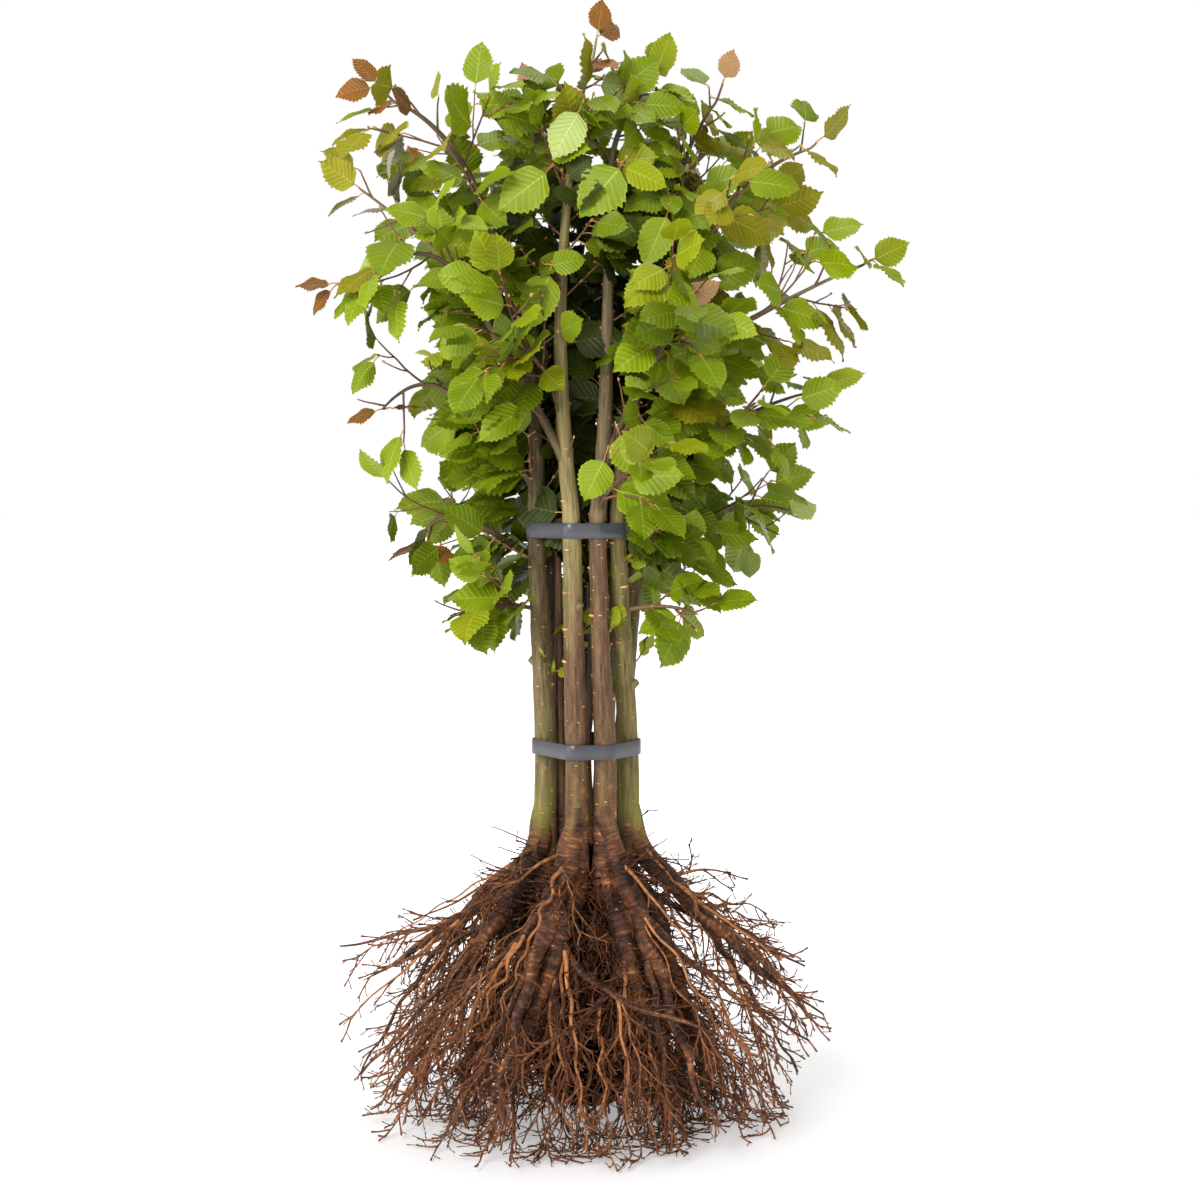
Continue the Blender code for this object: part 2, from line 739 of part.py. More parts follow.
# ------------------------------------------------------------------ roots
def heart_radius(height):
    """Outer radius of the root heart at a height."""
    heights, radii = zip(*HEART_PROFILE)
    return float(np.interp(height, heights, radii))


def build_heart(parts):
    """The dense middle of the roots: a turned bell with a lobed surface and a flat underside."""
    mesh = bpy.data.meshes.new("heart_profile")
    corners = [(0.0, HEART_TOP)] + [(r, h) for h, r in reversed(HEART_PROFILE)] + [(0.0, 0.0)]
    mesh.from_pydata([(r, 0.0, h) for r, h in corners],
                     [(i, i + 1) for i in range(len(corners) - 1)], [])
    thing = add_object("root_heart", mesh, parts)
    screw = thing.modifiers.new("turn", "SCREW")
    screw.steps = HEART_SIDES
    screw.render_steps = HEART_SIDES
    screw.use_merge_vertices = True
    screw.merge_threshold = 0.00001
    turned = evaluated_mesh(thing, "root_heart")
    thing.modifiers.clear()
    thing.data = turned
    bpy.data.meshes.remove(mesh)
    bm = bmesh.new()
    bm.from_mesh(turned)
    bmesh.ops.remove_doubles(bm, verts=bm.verts, dist=0.000001)
    for vert in bm.verts:
        angle = math.atan2(vert.co.y, vert.co.x)
        depth = 0.17 * (1.0 - (vert.co.z / HEART_TOP) ** 2)
        valley = 0.5 - 0.5 * math.cos(HEART_RIDGES * angle)
        unevenness = 0.3 * math.sin(3 * angle + 1.0)
        vert.co.x *= 1.0 - depth * min(1.0, valley + unevenness * valley)
        vert.co.y *= 1.0 - depth * min(1.0, valley + unevenness * valley)
    finish_solid(bm, turned)
    return thing


def inside_root_dome(points):
    """The spread of the roots: an oval on the floor that closes towards the stems."""
    for p in points:
        spread = math.hypot(p.x / ROOT_REACH_X, p.y / ROOT_REACH_Y)
        ceiling = 0.36 - 0.12 * spread - 0.03 * spread ** 4
        if spread > 1.0 or p.z < ROOT_FLOOR or p.z > ceiling:
            return False
    return True


def root_axis(name):
    carrier, azimuth, radius, height = ROOT_MASSES[name]
    path = root_path(carrier)
    heading = (path[-1] - path[-2]).normalized()
    start = path[-1] + heading * GAP
    end = around(azimuth, radius, height)
    knee = start + heading * (0.45 * (end - start).length)
    knee.z = max(knee.z, height + 0.01)
    return [start, start + heading * 0.01] + bent_path(start + heading * 0.01, knee, end, 4)[1:]


def side_root(name, base, heading, size, rng, plot):
    """The path of one side root, or None where it would leave its space or touch another."""
    for attempt in range(10):
        way = side_direction(heading, rng.uniform(0, 2 * math.pi), rng.uniform(0.6, 1.2))
        way.z -= 0.25
        way.normalize()
        reach = size * rng.uniform(0.75, 1.2) * (1 - 0.05 * attempt)
        middle = base + way * (0.5 * reach) + wander(rng, 0.010)
        tip = base + way * reach + Vector((0, 0, -0.22 * reach)) + wander(rng, 0.010)
        outside = sampled([base.lerp(middle, 0.35), middle, tip])
        if (inside_root_dome(outside)
                and is_free(name, outside, LIMB_SPACE, TWIG_SPACE, plot)
                and plot.space.clear(outside[3:], TWIG_SPACE)):
            plot.space.claim(outside, name)
            return [base, middle, tip]
    return None


def grow_roots(name, order, axis, plot):
    """One mass of roots: a main root, side roots, and a finer root on every other one."""
    rng = random.Random(SEED * 2000 + order)
    radii = [mix(0.0042, 0.0018, i / (len(axis) - 1)) for i in range(len(axis))]
    main = tube(name, axis, radii, plot.parts, profile=plot.profile)
    count = max(5, round(path_length(axis) / 0.018))
    grown = []
    for i in range(count):
        base, heading = along(axis, mix(0.08, 0.95, (i + 0.5) / count))
        path = side_root(name, base, heading, 0.085, rng, plot)
        if path:
            tube(f"{name}_side_{i}", path, (0.0030, 0.0023, 0.0012), plot.scraps,
                 profile=plot.profile)
            grown.append(path)
    for i, parent in enumerate(grown[::2]):
        base, heading = along(parent, 0.55)
        path = side_root(name, base, heading, 0.05, rng, plot)
        if path:
            tube(f"{name}_fine_{i}", path, (0.0020, 0.0016, 0.0010), plot.scraps,
                 profile=plot.profile)
    fuse_collection(main, plot.scraps)
    paint(main, "root")


def grow_heart_roots(heart, plot, count=20):
    """Short roots that stand out of the heart, in the space between the main roots."""
    rng = random.Random(SEED * 3000)
    for i in range(count):
        azimuth = math.degrees(i * GOLDEN_ANGLE)
        height = mix(0.245, 0.03, ((i * 0.618) % 1.0))
        inner = around(azimuth, 0.78 * heart_radius(height), height)
        heading = around(azimuth, 1.0, mix(-0.45, 0.10, height / HEART_TOP)).normalized()
        for _ in range(6):
            way = (heading + wander(rng, 0.45)).normalized()
            size = rng.uniform(0.065, 0.11)
            middle = inner + way * (0.5 * size) + wander(rng, 0.005)
            tip = inner + way * size + Vector((0, 0, -0.2 * size)) + wander(rng, 0.008)
            outside = sampled([inner.lerp(middle, 0.8), middle, tip])
            if (inside_root_dome(outside) and off_limbs(plot.surface, outside, LIMB_SPACE)
                    and plot.space.clear(outside, TWIG_SPACE)):
                plot.space.claim(outside, heart.name)
                tube(f"heart_root_{i}", [inner, middle, tip], (0.0038, 0.0028, 0.0013),
                     plot.scraps, profile=plot.profile)
                break
    fuse_collection(heart, plot.scraps)
    paint(heart, "heart", roughness=0.9)


def grow_masses(axes, grow, plot):
    for name, axis in axes.items():
        plot.territory.add(name, axis)
        plot.space.claim(sampled(axis), name)
    for order, (name, axis) in enumerate(axes.items()):
        grow(name, order, axis, plot)


def main():
    clear_scene()
    parts = new_collection("bundle_of_saplings")
    guides = new_collection("cutters")
    scraps = new_collection("scraps")
    profile = profile_curve(3, guides)

    swollen = build_stems(parts, guides)
    build_limbs(BOUGHS, bough_path, bough_radii, "bark", swollen, parts)
    build_limbs(MAIN_ROOTS, root_path, root_radii, "root", swollen, parts)
    build_band("band_lower", LOWER_BAND_HEIGHT, parts)
    build_band("band_upper", UPPER_BAND_HEIGHT, parts)
    bpy.context.view_layer.update()

    crown = Plot(parts, scraps, profile, Space(), Territory(), limb_surface(parts))
    grow_masses({name: mass_axis(name) for name in FOLIAGE}, grow_foliage, crown)

    base = Plot(parts, scraps, profile, Space(), Territory(), limb_surface(parts))
    heart = build_heart(parts)
    around_heart = base._replace(surface=limb_surface(parts))
    grow_masses({name: root_axis(name) for name in ROOT_MASSES}, grow_roots, around_heart)
    grow_heart_roots(heart, base)
    bpy.data.collections.remove(scraps)


main()
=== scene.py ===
"""The looks of a tied bundle of eight bare-rooted hedging saplings, standing on their roots.

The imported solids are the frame. Stems, boughs and thick roots get bark with its relief in the mesh.
Foliage and root masses grow again by the solids' own rule and go on to finer twigs, real-sized
leaves and fine rootlets, within the same reach. Two flat straps hold the stems.

Metres, +Z up. The front is -Y. Azimuths are in degrees: 0 at the front, 90 at the right (+X).
"""

from collections import namedtuple
from math import atan2, copysign, cos, degrees, exp, hypot, pi, radians, sin, tau
from random import Random

import bmesh
import bpy
import numpy as np
from mathutils import Matrix, Vector
from mathutils.bvhtree import BVHTree


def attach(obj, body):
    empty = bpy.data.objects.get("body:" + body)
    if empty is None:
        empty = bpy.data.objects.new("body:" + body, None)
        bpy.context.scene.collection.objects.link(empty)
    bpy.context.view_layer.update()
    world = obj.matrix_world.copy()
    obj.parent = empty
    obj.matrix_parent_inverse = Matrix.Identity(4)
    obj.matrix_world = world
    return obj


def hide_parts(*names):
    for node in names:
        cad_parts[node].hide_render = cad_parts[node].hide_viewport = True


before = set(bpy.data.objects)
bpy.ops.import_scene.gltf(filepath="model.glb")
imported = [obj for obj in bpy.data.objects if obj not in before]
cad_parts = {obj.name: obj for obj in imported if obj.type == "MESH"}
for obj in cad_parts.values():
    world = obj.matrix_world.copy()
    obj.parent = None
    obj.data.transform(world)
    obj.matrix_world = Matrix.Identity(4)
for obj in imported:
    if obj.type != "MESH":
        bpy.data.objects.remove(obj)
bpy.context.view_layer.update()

# ------------ sizes shared with the solids
SEED = 41
GAP = 0.0003
GOLDEN_ANGLE = radians(137.5)
HEIGHT = 1.20
HEART_TOP = 0.268
COLLAR_HEIGHT = 0.335         # where the stems come clear of the root heart
HEART_PROFILE = ((0.0, 0.134), (0.014, 0.140), (0.05, 0.134), (0.10, 0.121), (0.15, 0.103),
                 (0.20, 0.086), (0.24, 0.073), (HEART_TOP, 0.0615))
RING = 0.0452
LOWER_BAND_HEIGHT = 0.412
UPPER_BAND_HEIGHT = 0.646
UPPER_RING = 0.0550
BAND_WIDTH = 0.016
BAND_THICKNESS = 0.0012
BAND_EDGE = 0.00035           # how much its edges are rounded, and its face raised in the middle
BAND_CROWN = 0.00015
BAND_CLEARANCE = 0.0009
SOLID_LEAF = 0.082            # length of the solids' leaves, which sets where each main twig stops
ROOT_REACH_X = 0.273
ROOT_REACH_Y = 0.215
BOUGH_KNEE = 0.45             # how far along its way a bough bends, and how much higher
BOUGH_LIFT = 0.012
ROOT_KNEE_REACH = 0.098       # how far out a main root bends, and the share of its fall by then
ROOT_KNEE_FALL = 0.12
MASS_KNEE = 0.45              # how far the axis of a root mass keeps its carrier's direction
MASS_KNEE_LIFT = 0.01
SPRAY_OVERLAP = 0.004         # how deep the main twig of a spray starts inside its carrier's tip
SPRAY_RISE = 0.25             # how steeply it leaves the side of a stem
SPRAY_KNEE = 0.42             # how far it keeps its first direction
SPRAY_STOP = 0.35             # the most of its way that it leaves to the leaf at its end

STEM_PROFILE = ((HEART_TOP, 0.0142), (0.33, 0.0132), (LOWER_BAND_HEIGHT, 0.0122),
                (UPPER_BAND_HEIGHT, 0.0094), (0.85, 0.0066), (1.02, 0.0040))

# stem: size, azimuth at the lower band, at the upper band and at the tip, radius and height of
# the tip, how late it bends outwards, and how far it bows sideways on the way up
STEMS = {
    "stem_left": (1.00, -92, -76, -75, 0.119, 1.000, 3.0, 0.000),
    "stem_front": (1.00, -15, -16, -22, 0.050, 1.000, 1.0, -0.011),
    "stem_front_right": (0.95, 25, 12, 40, 0.036, 1.000, 1.0, 0.004),
    "stem_right": (0.90, 85, 36, 76, 0.124, 0.945, 2.0, 0.000),
    "stem_right_slim": (0.72, 120, 84, 92, 0.085, 0.958, 1.5, 0.004),
    "stem_back_right": (0.92, 155, 150, 137, 0.150, 0.920, 1.8, 0.000),
    "stem_back": (0.88, 190, 190, 196, 0.085, 0.975, 1.4, 0.006),
    "stem_back_left": (0.85, 225, 222, 229, 0.145, 0.930, 1.8, 0.000),
}

# bough: the stem it leaves, the height where it leaves, and azimuth, radius and height of its tip
BOUGHS = {
    "bough_left_fork": ("stem_front", 0.716, -61, 0.147, 0.904),
    "bough_left_rising": ("stem_left", 0.840, -100, 0.166, 0.947),
    "bough_left_middle": ("stem_left", 0.690, -92, 0.145, 0.790),
    "bough_left_low": ("stem_back_left", 0.592, -114, 0.145, 0.655),
    "bough_front_right": ("stem_front_right", 0.706, 38, 0.112, 0.818),
    "bough_right_high": ("stem_right", 0.785, 79, 0.172, 0.866),
    "bough_right_middle": ("stem_right_slim", 0.690, 82, 0.132, 0.748),
    "bough_right_low": ("stem_back_right", 0.600, 119, 0.142, 0.655),
    "bough_back_right": ("stem_back_right", 0.730, 147, 0.172, 0.800),
    "bough_back_left": ("stem_back_left", 0.715, 216, 0.168, 0.800),
    "bough_back_middle": ("stem_back", 0.655, 181, 0.136, 0.730),
}

# mass of foliage: what carries it, the height where it leaves a stem (None for the tip of the
# limb), azimuth, radius and height of its furthest leaf tip, and the reach of its side twigs
FOLIAGE = {
    "foliage_top": ("stem_front", None, 20, 0.055, 1.200, 0.075),
    "foliage_top_inner": ("stem_front_right", None, 78, 0.092, 1.172, 0.075),
    "foliage_top_left": ("stem_left", None, -78, 0.250, 1.140, 0.090),
    "foliage_top_right": ("stem_right", None, 84, 0.285, 1.090, 0.090),
    "foliage_upper_right": ("stem_right_slim", None, 97, 0.162, 1.165, 0.080),
    "foliage_top_back_right": ("stem_back_right", None, 137, 0.285, 1.070, 0.095),
    "foliage_top_back": ("stem_back", None, 215, 0.125, 1.165, 0.085),
    "foliage_top_back_left": ("stem_back_left", None, 228, 0.285, 1.085, 0.095),
    "foliage_left_upper": ("bough_left_fork", None, -74, 0.312, 0.900, 0.085),
    "foliage_left_rising": ("bough_left_rising", None, -97, 0.293, 1.050, 0.085),
    "foliage_left_middle": ("bough_left_middle", None, -91, 0.262, 0.768, 0.090),
    "foliage_left_low": ("bough_left_low", None, -105, 0.232, 0.612, 0.090),
    "foliage_front_right": ("bough_front_right", None, 37, 0.215, 0.920, 0.090),
    "foliage_right_high": ("bough_right_high", None, 88, 0.350, 0.955, 0.090),
    "foliage_right_middle": ("bough_right_middle", None, 80, 0.296, 0.815, 0.090),
    "foliage_right_low": ("bough_right_low", None, 99, 0.283, 0.672, 0.090),
    "foliage_back_right": ("bough_back_right", None, 143, 0.305, 0.855, 0.095),
    "foliage_back_left": ("bough_back_left", None, 222, 0.305, 0.855, 0.095),
    "foliage_back_middle": ("bough_back_middle", None, 181, 0.275, 0.790, 0.095),
    "foliage_front_middle": ("stem_front_right", 0.668, 10, 0.195, 0.765, 0.075),
    "foliage_front_left": ("stem_front", 0.800, -33, 0.200, 0.945, 0.085),
    "foliage_skirt_left": ("stem_left", 0.560, -72, 0.190, 0.556, 0.080),
    "foliage_skirt_right": ("stem_right", 0.560, 72, 0.168, 0.556, 0.080),
    "foliage_skirt_back": ("stem_back", 0.560, 183, 0.180, 0.585, 0.080),
}

# outline of the crown: height, and its reach to the left, to the right, and to front and back
CROWN = ((0.490, 0.100, 0.090, 0.100), (0.580, 0.200, 0.175, 0.190), (0.640, 0.240, 0.240, 0.215),
         (0.700, 0.255, 0.280, 0.240), (0.800, 0.268, 0.280, 0.260), (0.900, 0.305, 0.325, 0.265),
         (0.960, 0.285, 0.350, 0.260), (1.040, 0.290, 0.275, 0.245), (1.090, 0.290, 0.280, 0.225),
         (1.140, 0.240, 0.200, 0.190), (HEIGHT, 0.100, 0.100, 0.110))

# main root: the stem it leaves, the height where it leaves, and azimuth, radius and height of its tip
MAIN_ROOTS = {
    "root_left": ("stem_left", 0.325, -70, 0.178, 0.130),
    "root_front_left": ("stem_front", 0.315, -31, 0.170, 0.100),
    "root_front_right": ("stem_front_right", 0.318, 44, 0.165, 0.090),
    "root_right": ("stem_right", 0.325, 83, 0.186, 0.190),
    "root_back_right": ("stem_back_right", 0.318, 137, 0.165, 0.110),
    "root_back": ("stem_back", 0.315, 187, 0.168, 0.105),
    "root_back_left": ("stem_back_left", 0.322, 250, 0.178, 0.205),
}

# mass of roots: the main root that carries it, azimuth, radius and height of its furthest tip
ROOT_MASSES = {
    "root_mass_left": ("root_left", -62, 0.262, 0.012),
    "root_mass_front_left": ("root_front_left", -14, 0.212, 0.006),
    "root_mass_front_right": ("root_front_right", 38, 0.240, 0.010),
    "root_mass_right": ("root_right", 88, 0.272, 0.085),
    "root_mass_back_right": ("root_back_right", 130, 0.245, 0.012),
    "root_mass_back": ("root_back", 184, 0.212, 0.010),
    "root_mass_back_left": ("root_back_left", 258, 0.270, 0.130),
}

# ------------ sizes of the finer growth
TWIG_SPACING = 0.025          # between side twigs along the main twig of a spray
LEAF_SPACING = 0.0225         # between leaves along a side twig
MAIN_LEAF_SPACING = 0.028     # and along a main twig
LEAF_LENGTHS = (0.047, 0.065)
LEAF_RATIO = 0.76             # width of a leaf against its length
PETIOLE = 0.0085
TWIG_TIP = 0.0011             # radius of a main twig at its tip
LEAF_CLEARANCE = 0.0085       # between the middles of neighbouring leaves
VEIN_PAIRS = 9
DRAWN_TIP = 0.95              # where the broad part of the blade ends and its drawn tip begins
LEAF_VARIANTS = 8
BARE_SHARE = 0.60             # how many of the outer nodes on the twigs carry no leaf
OPEN_SHARE = 0.70             # and how many on the right and at the top
OPEN_SIDE = 0.03              # where the right begins, in x, and the top, in z
OPEN_TOP = 1.03
FRONT_SHARE = 0.10            # and how many on the twigs that reach far to the front
BARE_TIPS = 0.22              # and how many of the tips of twigs, which end in a bud instead
DRAWN_BACK = 0.42             # how much of a main twig is drawn if its tip would hide the stems
MAIN_TWIG = (0.0030, TWIG_TIP)
TWIGS_FROM = (0.05, 0.88)     # where the side twigs start along a main twig, and over how much of it
SIDE_SPREAD = (42, 60)        # degrees between a side twig and the main one
SIDE_REACH = (1.10, 0.20)     # their length at both ends of it, as a share of the spray's reach
FORKED_TO = 0.45              # up to this share of the main twig they carry finer twigs
LEAF_FACING = (0.42, 0.55, 0.50)   # how much a leaf faces the front or back, outwards and up
LEAF_SPOTS = (0.30, 0.62, 0.92)    # where along a leaf its distance to others is measured
LEAF_DROOP = (0.05, 0.85)     # how much leaves hang from the twig
TWIG_WANDER = 0.11            # how much a twig bends at each joint, and how much it turns up
TWIG_UPTURN = 0.045
SIDE_TWIG = (0.0014, 0.0008)  # radius of a side twig at its foot and tip
FINER_TWIG = (0.0010, 0.0006)
SPUR_TWIG = (0.0013, 0.0008)
SPUR_LENGTHS = (0.030, 0.062)
SHOOT_BAND = (0.452, 0.622)   # heights between which the new shoots sit
SHOOT_LENGTHS = (0.020, 0.032)
SHOOT_LEAVES = (0.013, 0.025)
# painted shade: leaves on spurs nearer the middle than this get the shaded tint, a much darker copy
# of the green
SHADED_REACH = 0.075          # nearer the middle than this the leaves on spurs are shaded ones
INNER_REACH = 0.115           # and up to here they are deep or middle ones
# The window that leaves and twigs keep clear before the stems: how near it starts, half its width
# and its top; half the width and the top of its upper part, and how much is kept clear in that
# and round it.
WINDOW_Y = -0.035
WINDOW = (0.070, 0.690)
UPPER_WINDOW = (0.056, 0.920)
UPPER_CLEAR = (0.78, 0.15)
LIMB_CLEARANCE = 0.0030
SPUR_SPACING = 0.0155         # between the leafy spurs along a stem or bough
SPUR_BAND = (0.60, 1.06)      # heights between which stems carry them
SHOOTS = 26                   # small new shoots low on the stems

# The leaves that stand out before the stems: x and z of the foot and of the tip, and the tint.
FRONT_DEPTH = 0.085
FRONT_LEAVES = (
    ((-0.008, 1.072), (-0.037, 1.026), "pale"),
    ((-0.041, 1.011), (-0.093, 0.975), "fresh"),
    ((0.034, 1.016), (-0.010, 0.969), "fresh"),
    ((0.040, 1.017), (0.084, 0.999), "spring"),
    ((0.082, 0.967), (0.058, 0.916), "fresh"),
    ((-0.035, 0.918), (0.000, 0.928), "middle"),
    ((-0.038, 0.908), (-0.061, 0.852), "fresh"),
    ((0.101, 0.880), (0.136, 0.904), "blush"),
    ((0.067, 0.829), (0.042, 0.779), "fresh"),
    ((0.073, 0.831), (0.108, 0.776), "middle"),
    ((-0.066, 0.772), (-0.113, 0.740), "fresh"),
    ((0.059, 0.758), (0.093, 0.732), "middle"),
    ((0.034, 0.745), (0.057, 0.702), "fresh"),
    ((0.018, 0.719), (-0.004, 0.677), "fresh"),
)

# The feet of the stems run on down the root heart as thick roots: height against radius.
FOOT_PROFILE = ((0.006, 0.0012), (0.05, 0.0030), (0.10, 0.0052), (0.15, 0.0078), (0.20, 0.0104),
                (0.24, 0.0128))
# How far each of these roots turns round the heart on its way down, in degrees.
FOOT_DRIFT = {"stem_left": 14, "stem_front": -34, "stem_front_right": 24, "stem_right": -12,
              "stem_right_slim": 10, "stem_back_right": 16, "stem_back": -18,
              "stem_back_left": 14}

# Radius of a main root with the axis of its mass, by length from the collar.
THICK_ROOT_PROFILE = ((0.0, 0.0112), (0.030, 0.0122), (0.066, 0.0134), (0.106, 0.0118),
                      (0.156, 0.0088), (0.216, 0.0060), (0.286, 0.0038), (0.366, 0.0022),
                      (0.466, 0.0010))

# Height of the highest roots by how far out they are, from the stems to the edge of the reach.
ROOT_CEILING = ((0.0, 0.365), (0.30, 0.345), (0.46, 0.325), (0.53, 0.300), (0.64, 0.266),
                (0.83, 0.240), (0.93, 0.214), (1.0, 0.190))

# How far the middle of a main root is drawn in towards the heart, and how far down.
ROOT_EASE = (0.84, 0.86, 0.89, 0.93, 0.96)
ROOT_DROP = (0.008, 0.018, 0.021, 0.017, 0.009)

# forked root: what it leaves and how far along it, azimuth, share of the reach and height of its
# tip, and its first radius
FORKS = (
    ("root_left", 0.22, -88, 0.99, 0.195, 0.0060),
    ("root_left", 0.41, -78, 0.97, 0.060, 0.0052),
    ("root_front_left", 0.23, -54, 0.95, 0.110, 0.0072),
    ("root_front_left", 0.41, -36, 0.93, 0.040, 0.0054),
    ("stem_front", 0.03, 34, 0.93, 0.140, 0.0068),
    ("stem_front", 0.12, 3, 0.86, 0.030, 0.0056),
    ("stem_front", 0.45, -20, 0.92, 0.012, 0.0046),
    ("stem_front_right", 0.10, -22, 0.92, 0.105, 0.0060),
    ("stem_front_right", 0.22, 12, 0.90, 0.060, 0.0050),
    ("root_left", 0.28, -112, 0.92, 0.150, 0.0048),
    ("root_right", 0.28, 116, 0.94, 0.160, 0.0048),
    ("root_front_right", 0.23, 64, 0.96, 0.115, 0.0064),
    ("root_front_right", 0.41, 24, 0.92, 0.030, 0.0054),
    ("root_right", 0.23, 74, 0.96, 0.130, 0.0064),
    ("root_right", 0.41, 98, 0.98, 0.045, 0.0050),
    ("root_back_right", 0.23, 112, 0.98, 0.150, 0.0064),
    ("root_back_right", 0.41, 150, 0.93, 0.050, 0.0052),
    ("root_back", 0.23, 168, 0.94, 0.150, 0.0062),
    ("root_back", 0.41, 206, 0.93, 0.040, 0.0052),
    ("root_back_left", 0.23, -128, 0.96, 0.150, 0.0062),
    ("root_back_left", 0.41, -98, 0.98, 0.050, 0.0052),
)

# Fine roots by order: spacing along the parent, length, radius at both ends, length of one step,
# spread from the parent in radians, how much the path curls and how much it falls in one step.
RootOrder = namedtuple("RootOrder", "spacing length radius step spread curl fall")
ROOT_ORDERS = (
    RootOrder(0.0, (0.0, 0.0), (0.0020, 0.0007), 0.0085, (0.0, 0.0), 0.0, 0.0),
    RootOrder(0.0112, (0.014, 0.056), (0.00115, 0.00062), 0.0066, (0.42, 0.80), 0.15, 0.004),
    RootOrder(0.0115, (0.006, 0.018), (0.00060, 0.00044), 0.0056, (0.50, 0.95), 0.22, 0.0),
)
LOWEST_ROOT = 0.0026          # height of the middle of the lowest roots
ROOT_WAVE = 0.0026            # how far a thick root waves from side to side, and a fork
FORK_WAVE = 0.0024
LONG_ROOT_WAVES = (0.0016, 0.0044)
ROOT_END = (0.08, 0.2)        # a main root thins to its tip over this length, down to this share
EDGE_MARGIN = 0.03            # how far inside the edge of the reach the main roots stop
# Where long roots end. Up to the first share it is on the upper slope, up to the second round the
# side, and for the rest near the floor; each has its shares of the reach and its heights.
ROOT_ZONES = (0.20, 0.74)
SLOPE_SPREAD = (0.46, 0.98)
SLOPE_DEPTH = (0.82, 0.99)    # as a share of the ceiling there
SIDE_PLACES = ((0.70, 1.0), (0.015, 0.175))
FLOOR_PLACES = ((0.50, 1.0), (0.002, 0.016))
ROOT_KNOB = ((0.0, 1.7), (0.0012, 2.1), (0.0024, 1.1))   # beyond the tip, so much thicker
LONG_ROOTS = 212
CURLED_ROOTS = 860
CURL_HEIGHTS = (0.300, 0.03)
CURL_LENGTHS = (0.03, 0.09)
CURL_DEPTH = (0.66, 0.82)     # where they start, as a share of the root heart's radius
FRONT_CURLS = 240             # more of them between the front legs, where the middle would show
FRONT_CURL_AZIMUTHS = (-32, 44)
FRONT_CURL_HEIGHTS = (0.285, 0.13)
ROOT_APEX = 0.385             # height of the point that the long roots radiate from
SHOWN_ROOTS = 0.13            # above this height the thick roots show, with finer ones behind them
SHOWN_SHARE = 0.88            # and so many of the finer ones that would hide them are left out

# The near-black core of the roots, painted shade for the depths between them: the heights it spans,
# and its share of the root heart's radius.
CORE_HEIGHTS = (0.024, 0.300)
CORE_SHARE = 0.64

# ------------ small pieces on the stems
# whip: where it stands at its foot and from half way up, how far it bows between the two, the
# height of its tip, radius and bark
WHIPS = ((-0.0275, 0.006, -0.031, 0.010, 0.0, 0.820, 0.0052, "purple"),
         (0.0110, 0.022, 0.0050, 0.018, -0.0085, 0.860, 0.0056, "shaded"),
         (0.0250, 0.012, 0.0180, 0.020, 0.0, 0.780, 0.0046, "shaded"))
# stub of a shoot that was cut off: its stem, its height and the way it points
STUBS = (("stem_left", 0.497, -78), ("stem_right", 0.474, 70), ("stem_front", 0.560, 38),
         ("stem_back", 0.530, 170))
STUB_LENGTH = 0.006           # beyond the bark
STUB_RADII = (0.0062, 0.0036)
SCAR_WIDTH = 0.0095           # of the corky crescent under a bud
SCAR_SHAPE = ((0.0030, SCAR_WIDTH, 0.0024), (0.0, 0.5 * SCAR_WIDTH, 0.0))   # size and middle
BUD_SHAPE = ((0.0022, 0.0048, 0.0022), (0.0, 0.0024, 0.0004))
LENTICEL_SHAPE = ((0.0032, 0.0015, 0.0008), (0.0, 0.0, 0.0))
# The lenticels: how many a square metre at most, how far apart, and how much they vary in size.
LENTICELS = {"Density": 2600.0, "Spacing": 0.009, "Least": (0.6, 0.7, 0.8),
             "Most": (1.5, 1.2, 1.2), "Seed": 3}
TIP_DARKENING = 0.7           # how much of its own shade a strand loses by its tip

# ------------ tones of bark and leaf
BROWN_TONES = ("#3A2A20", "#604632", "#856749")
# bark: its name, its dark, middle and light tones high up and low down, the height of the change,
# the tone of its moss and how much of it there is, and the height of the collar
BARKS = {
    "olive": ("olive_young_bark", ("#5E5034", "#8A7C50", "#AC9E6C"), BROWN_TONES, 0.560,
              "#7C743E", 0.02, 0.372),
    "purple": ("purple_brown_young_bark", ("#4A3C2C", "#75644A", "#95835E"), BROWN_TONES, 0.640,
               "#6A643C", 0.02, 0.372),
    "mossy": ("mossy_young_bark", ("#3E3722", "#6C6038", "#968A58"),
              ("#43381F", "#71643C", "#9A8E58"), 0.500, "#786F3C", 0.13, 0.345),
    "grey": ("grey_brown_young_bark", ("#30261C", "#54442F", "#7B6A4C"),
             ("#40341F", "#69593A", "#948658"), 0.520, "#716840", 0.13, 0.345),
    # shaded: painted shade, a much darker copy of the bark for the stems at the back and the whips
    # inside the ring of stems
    "shaded": ("painted_shade_young_bark", ("#15100B", "#2E2318", "#4C3C2D"),
               ("#241A12", "#463526", "#6A533C"), 0.440, "#45432A", 0.02, 0.350),
}
# the two back stems get the shaded bark, painted shade
STEM_BARKS = {"stem_left": "grey", "stem_front": "olive", "stem_front_right": "purple",
              "stem_right": "mossy", "stem_right_slim": "grey", "stem_back_right": "grey",
              "stem_back": "shaded", "stem_back_left": "shaded"}
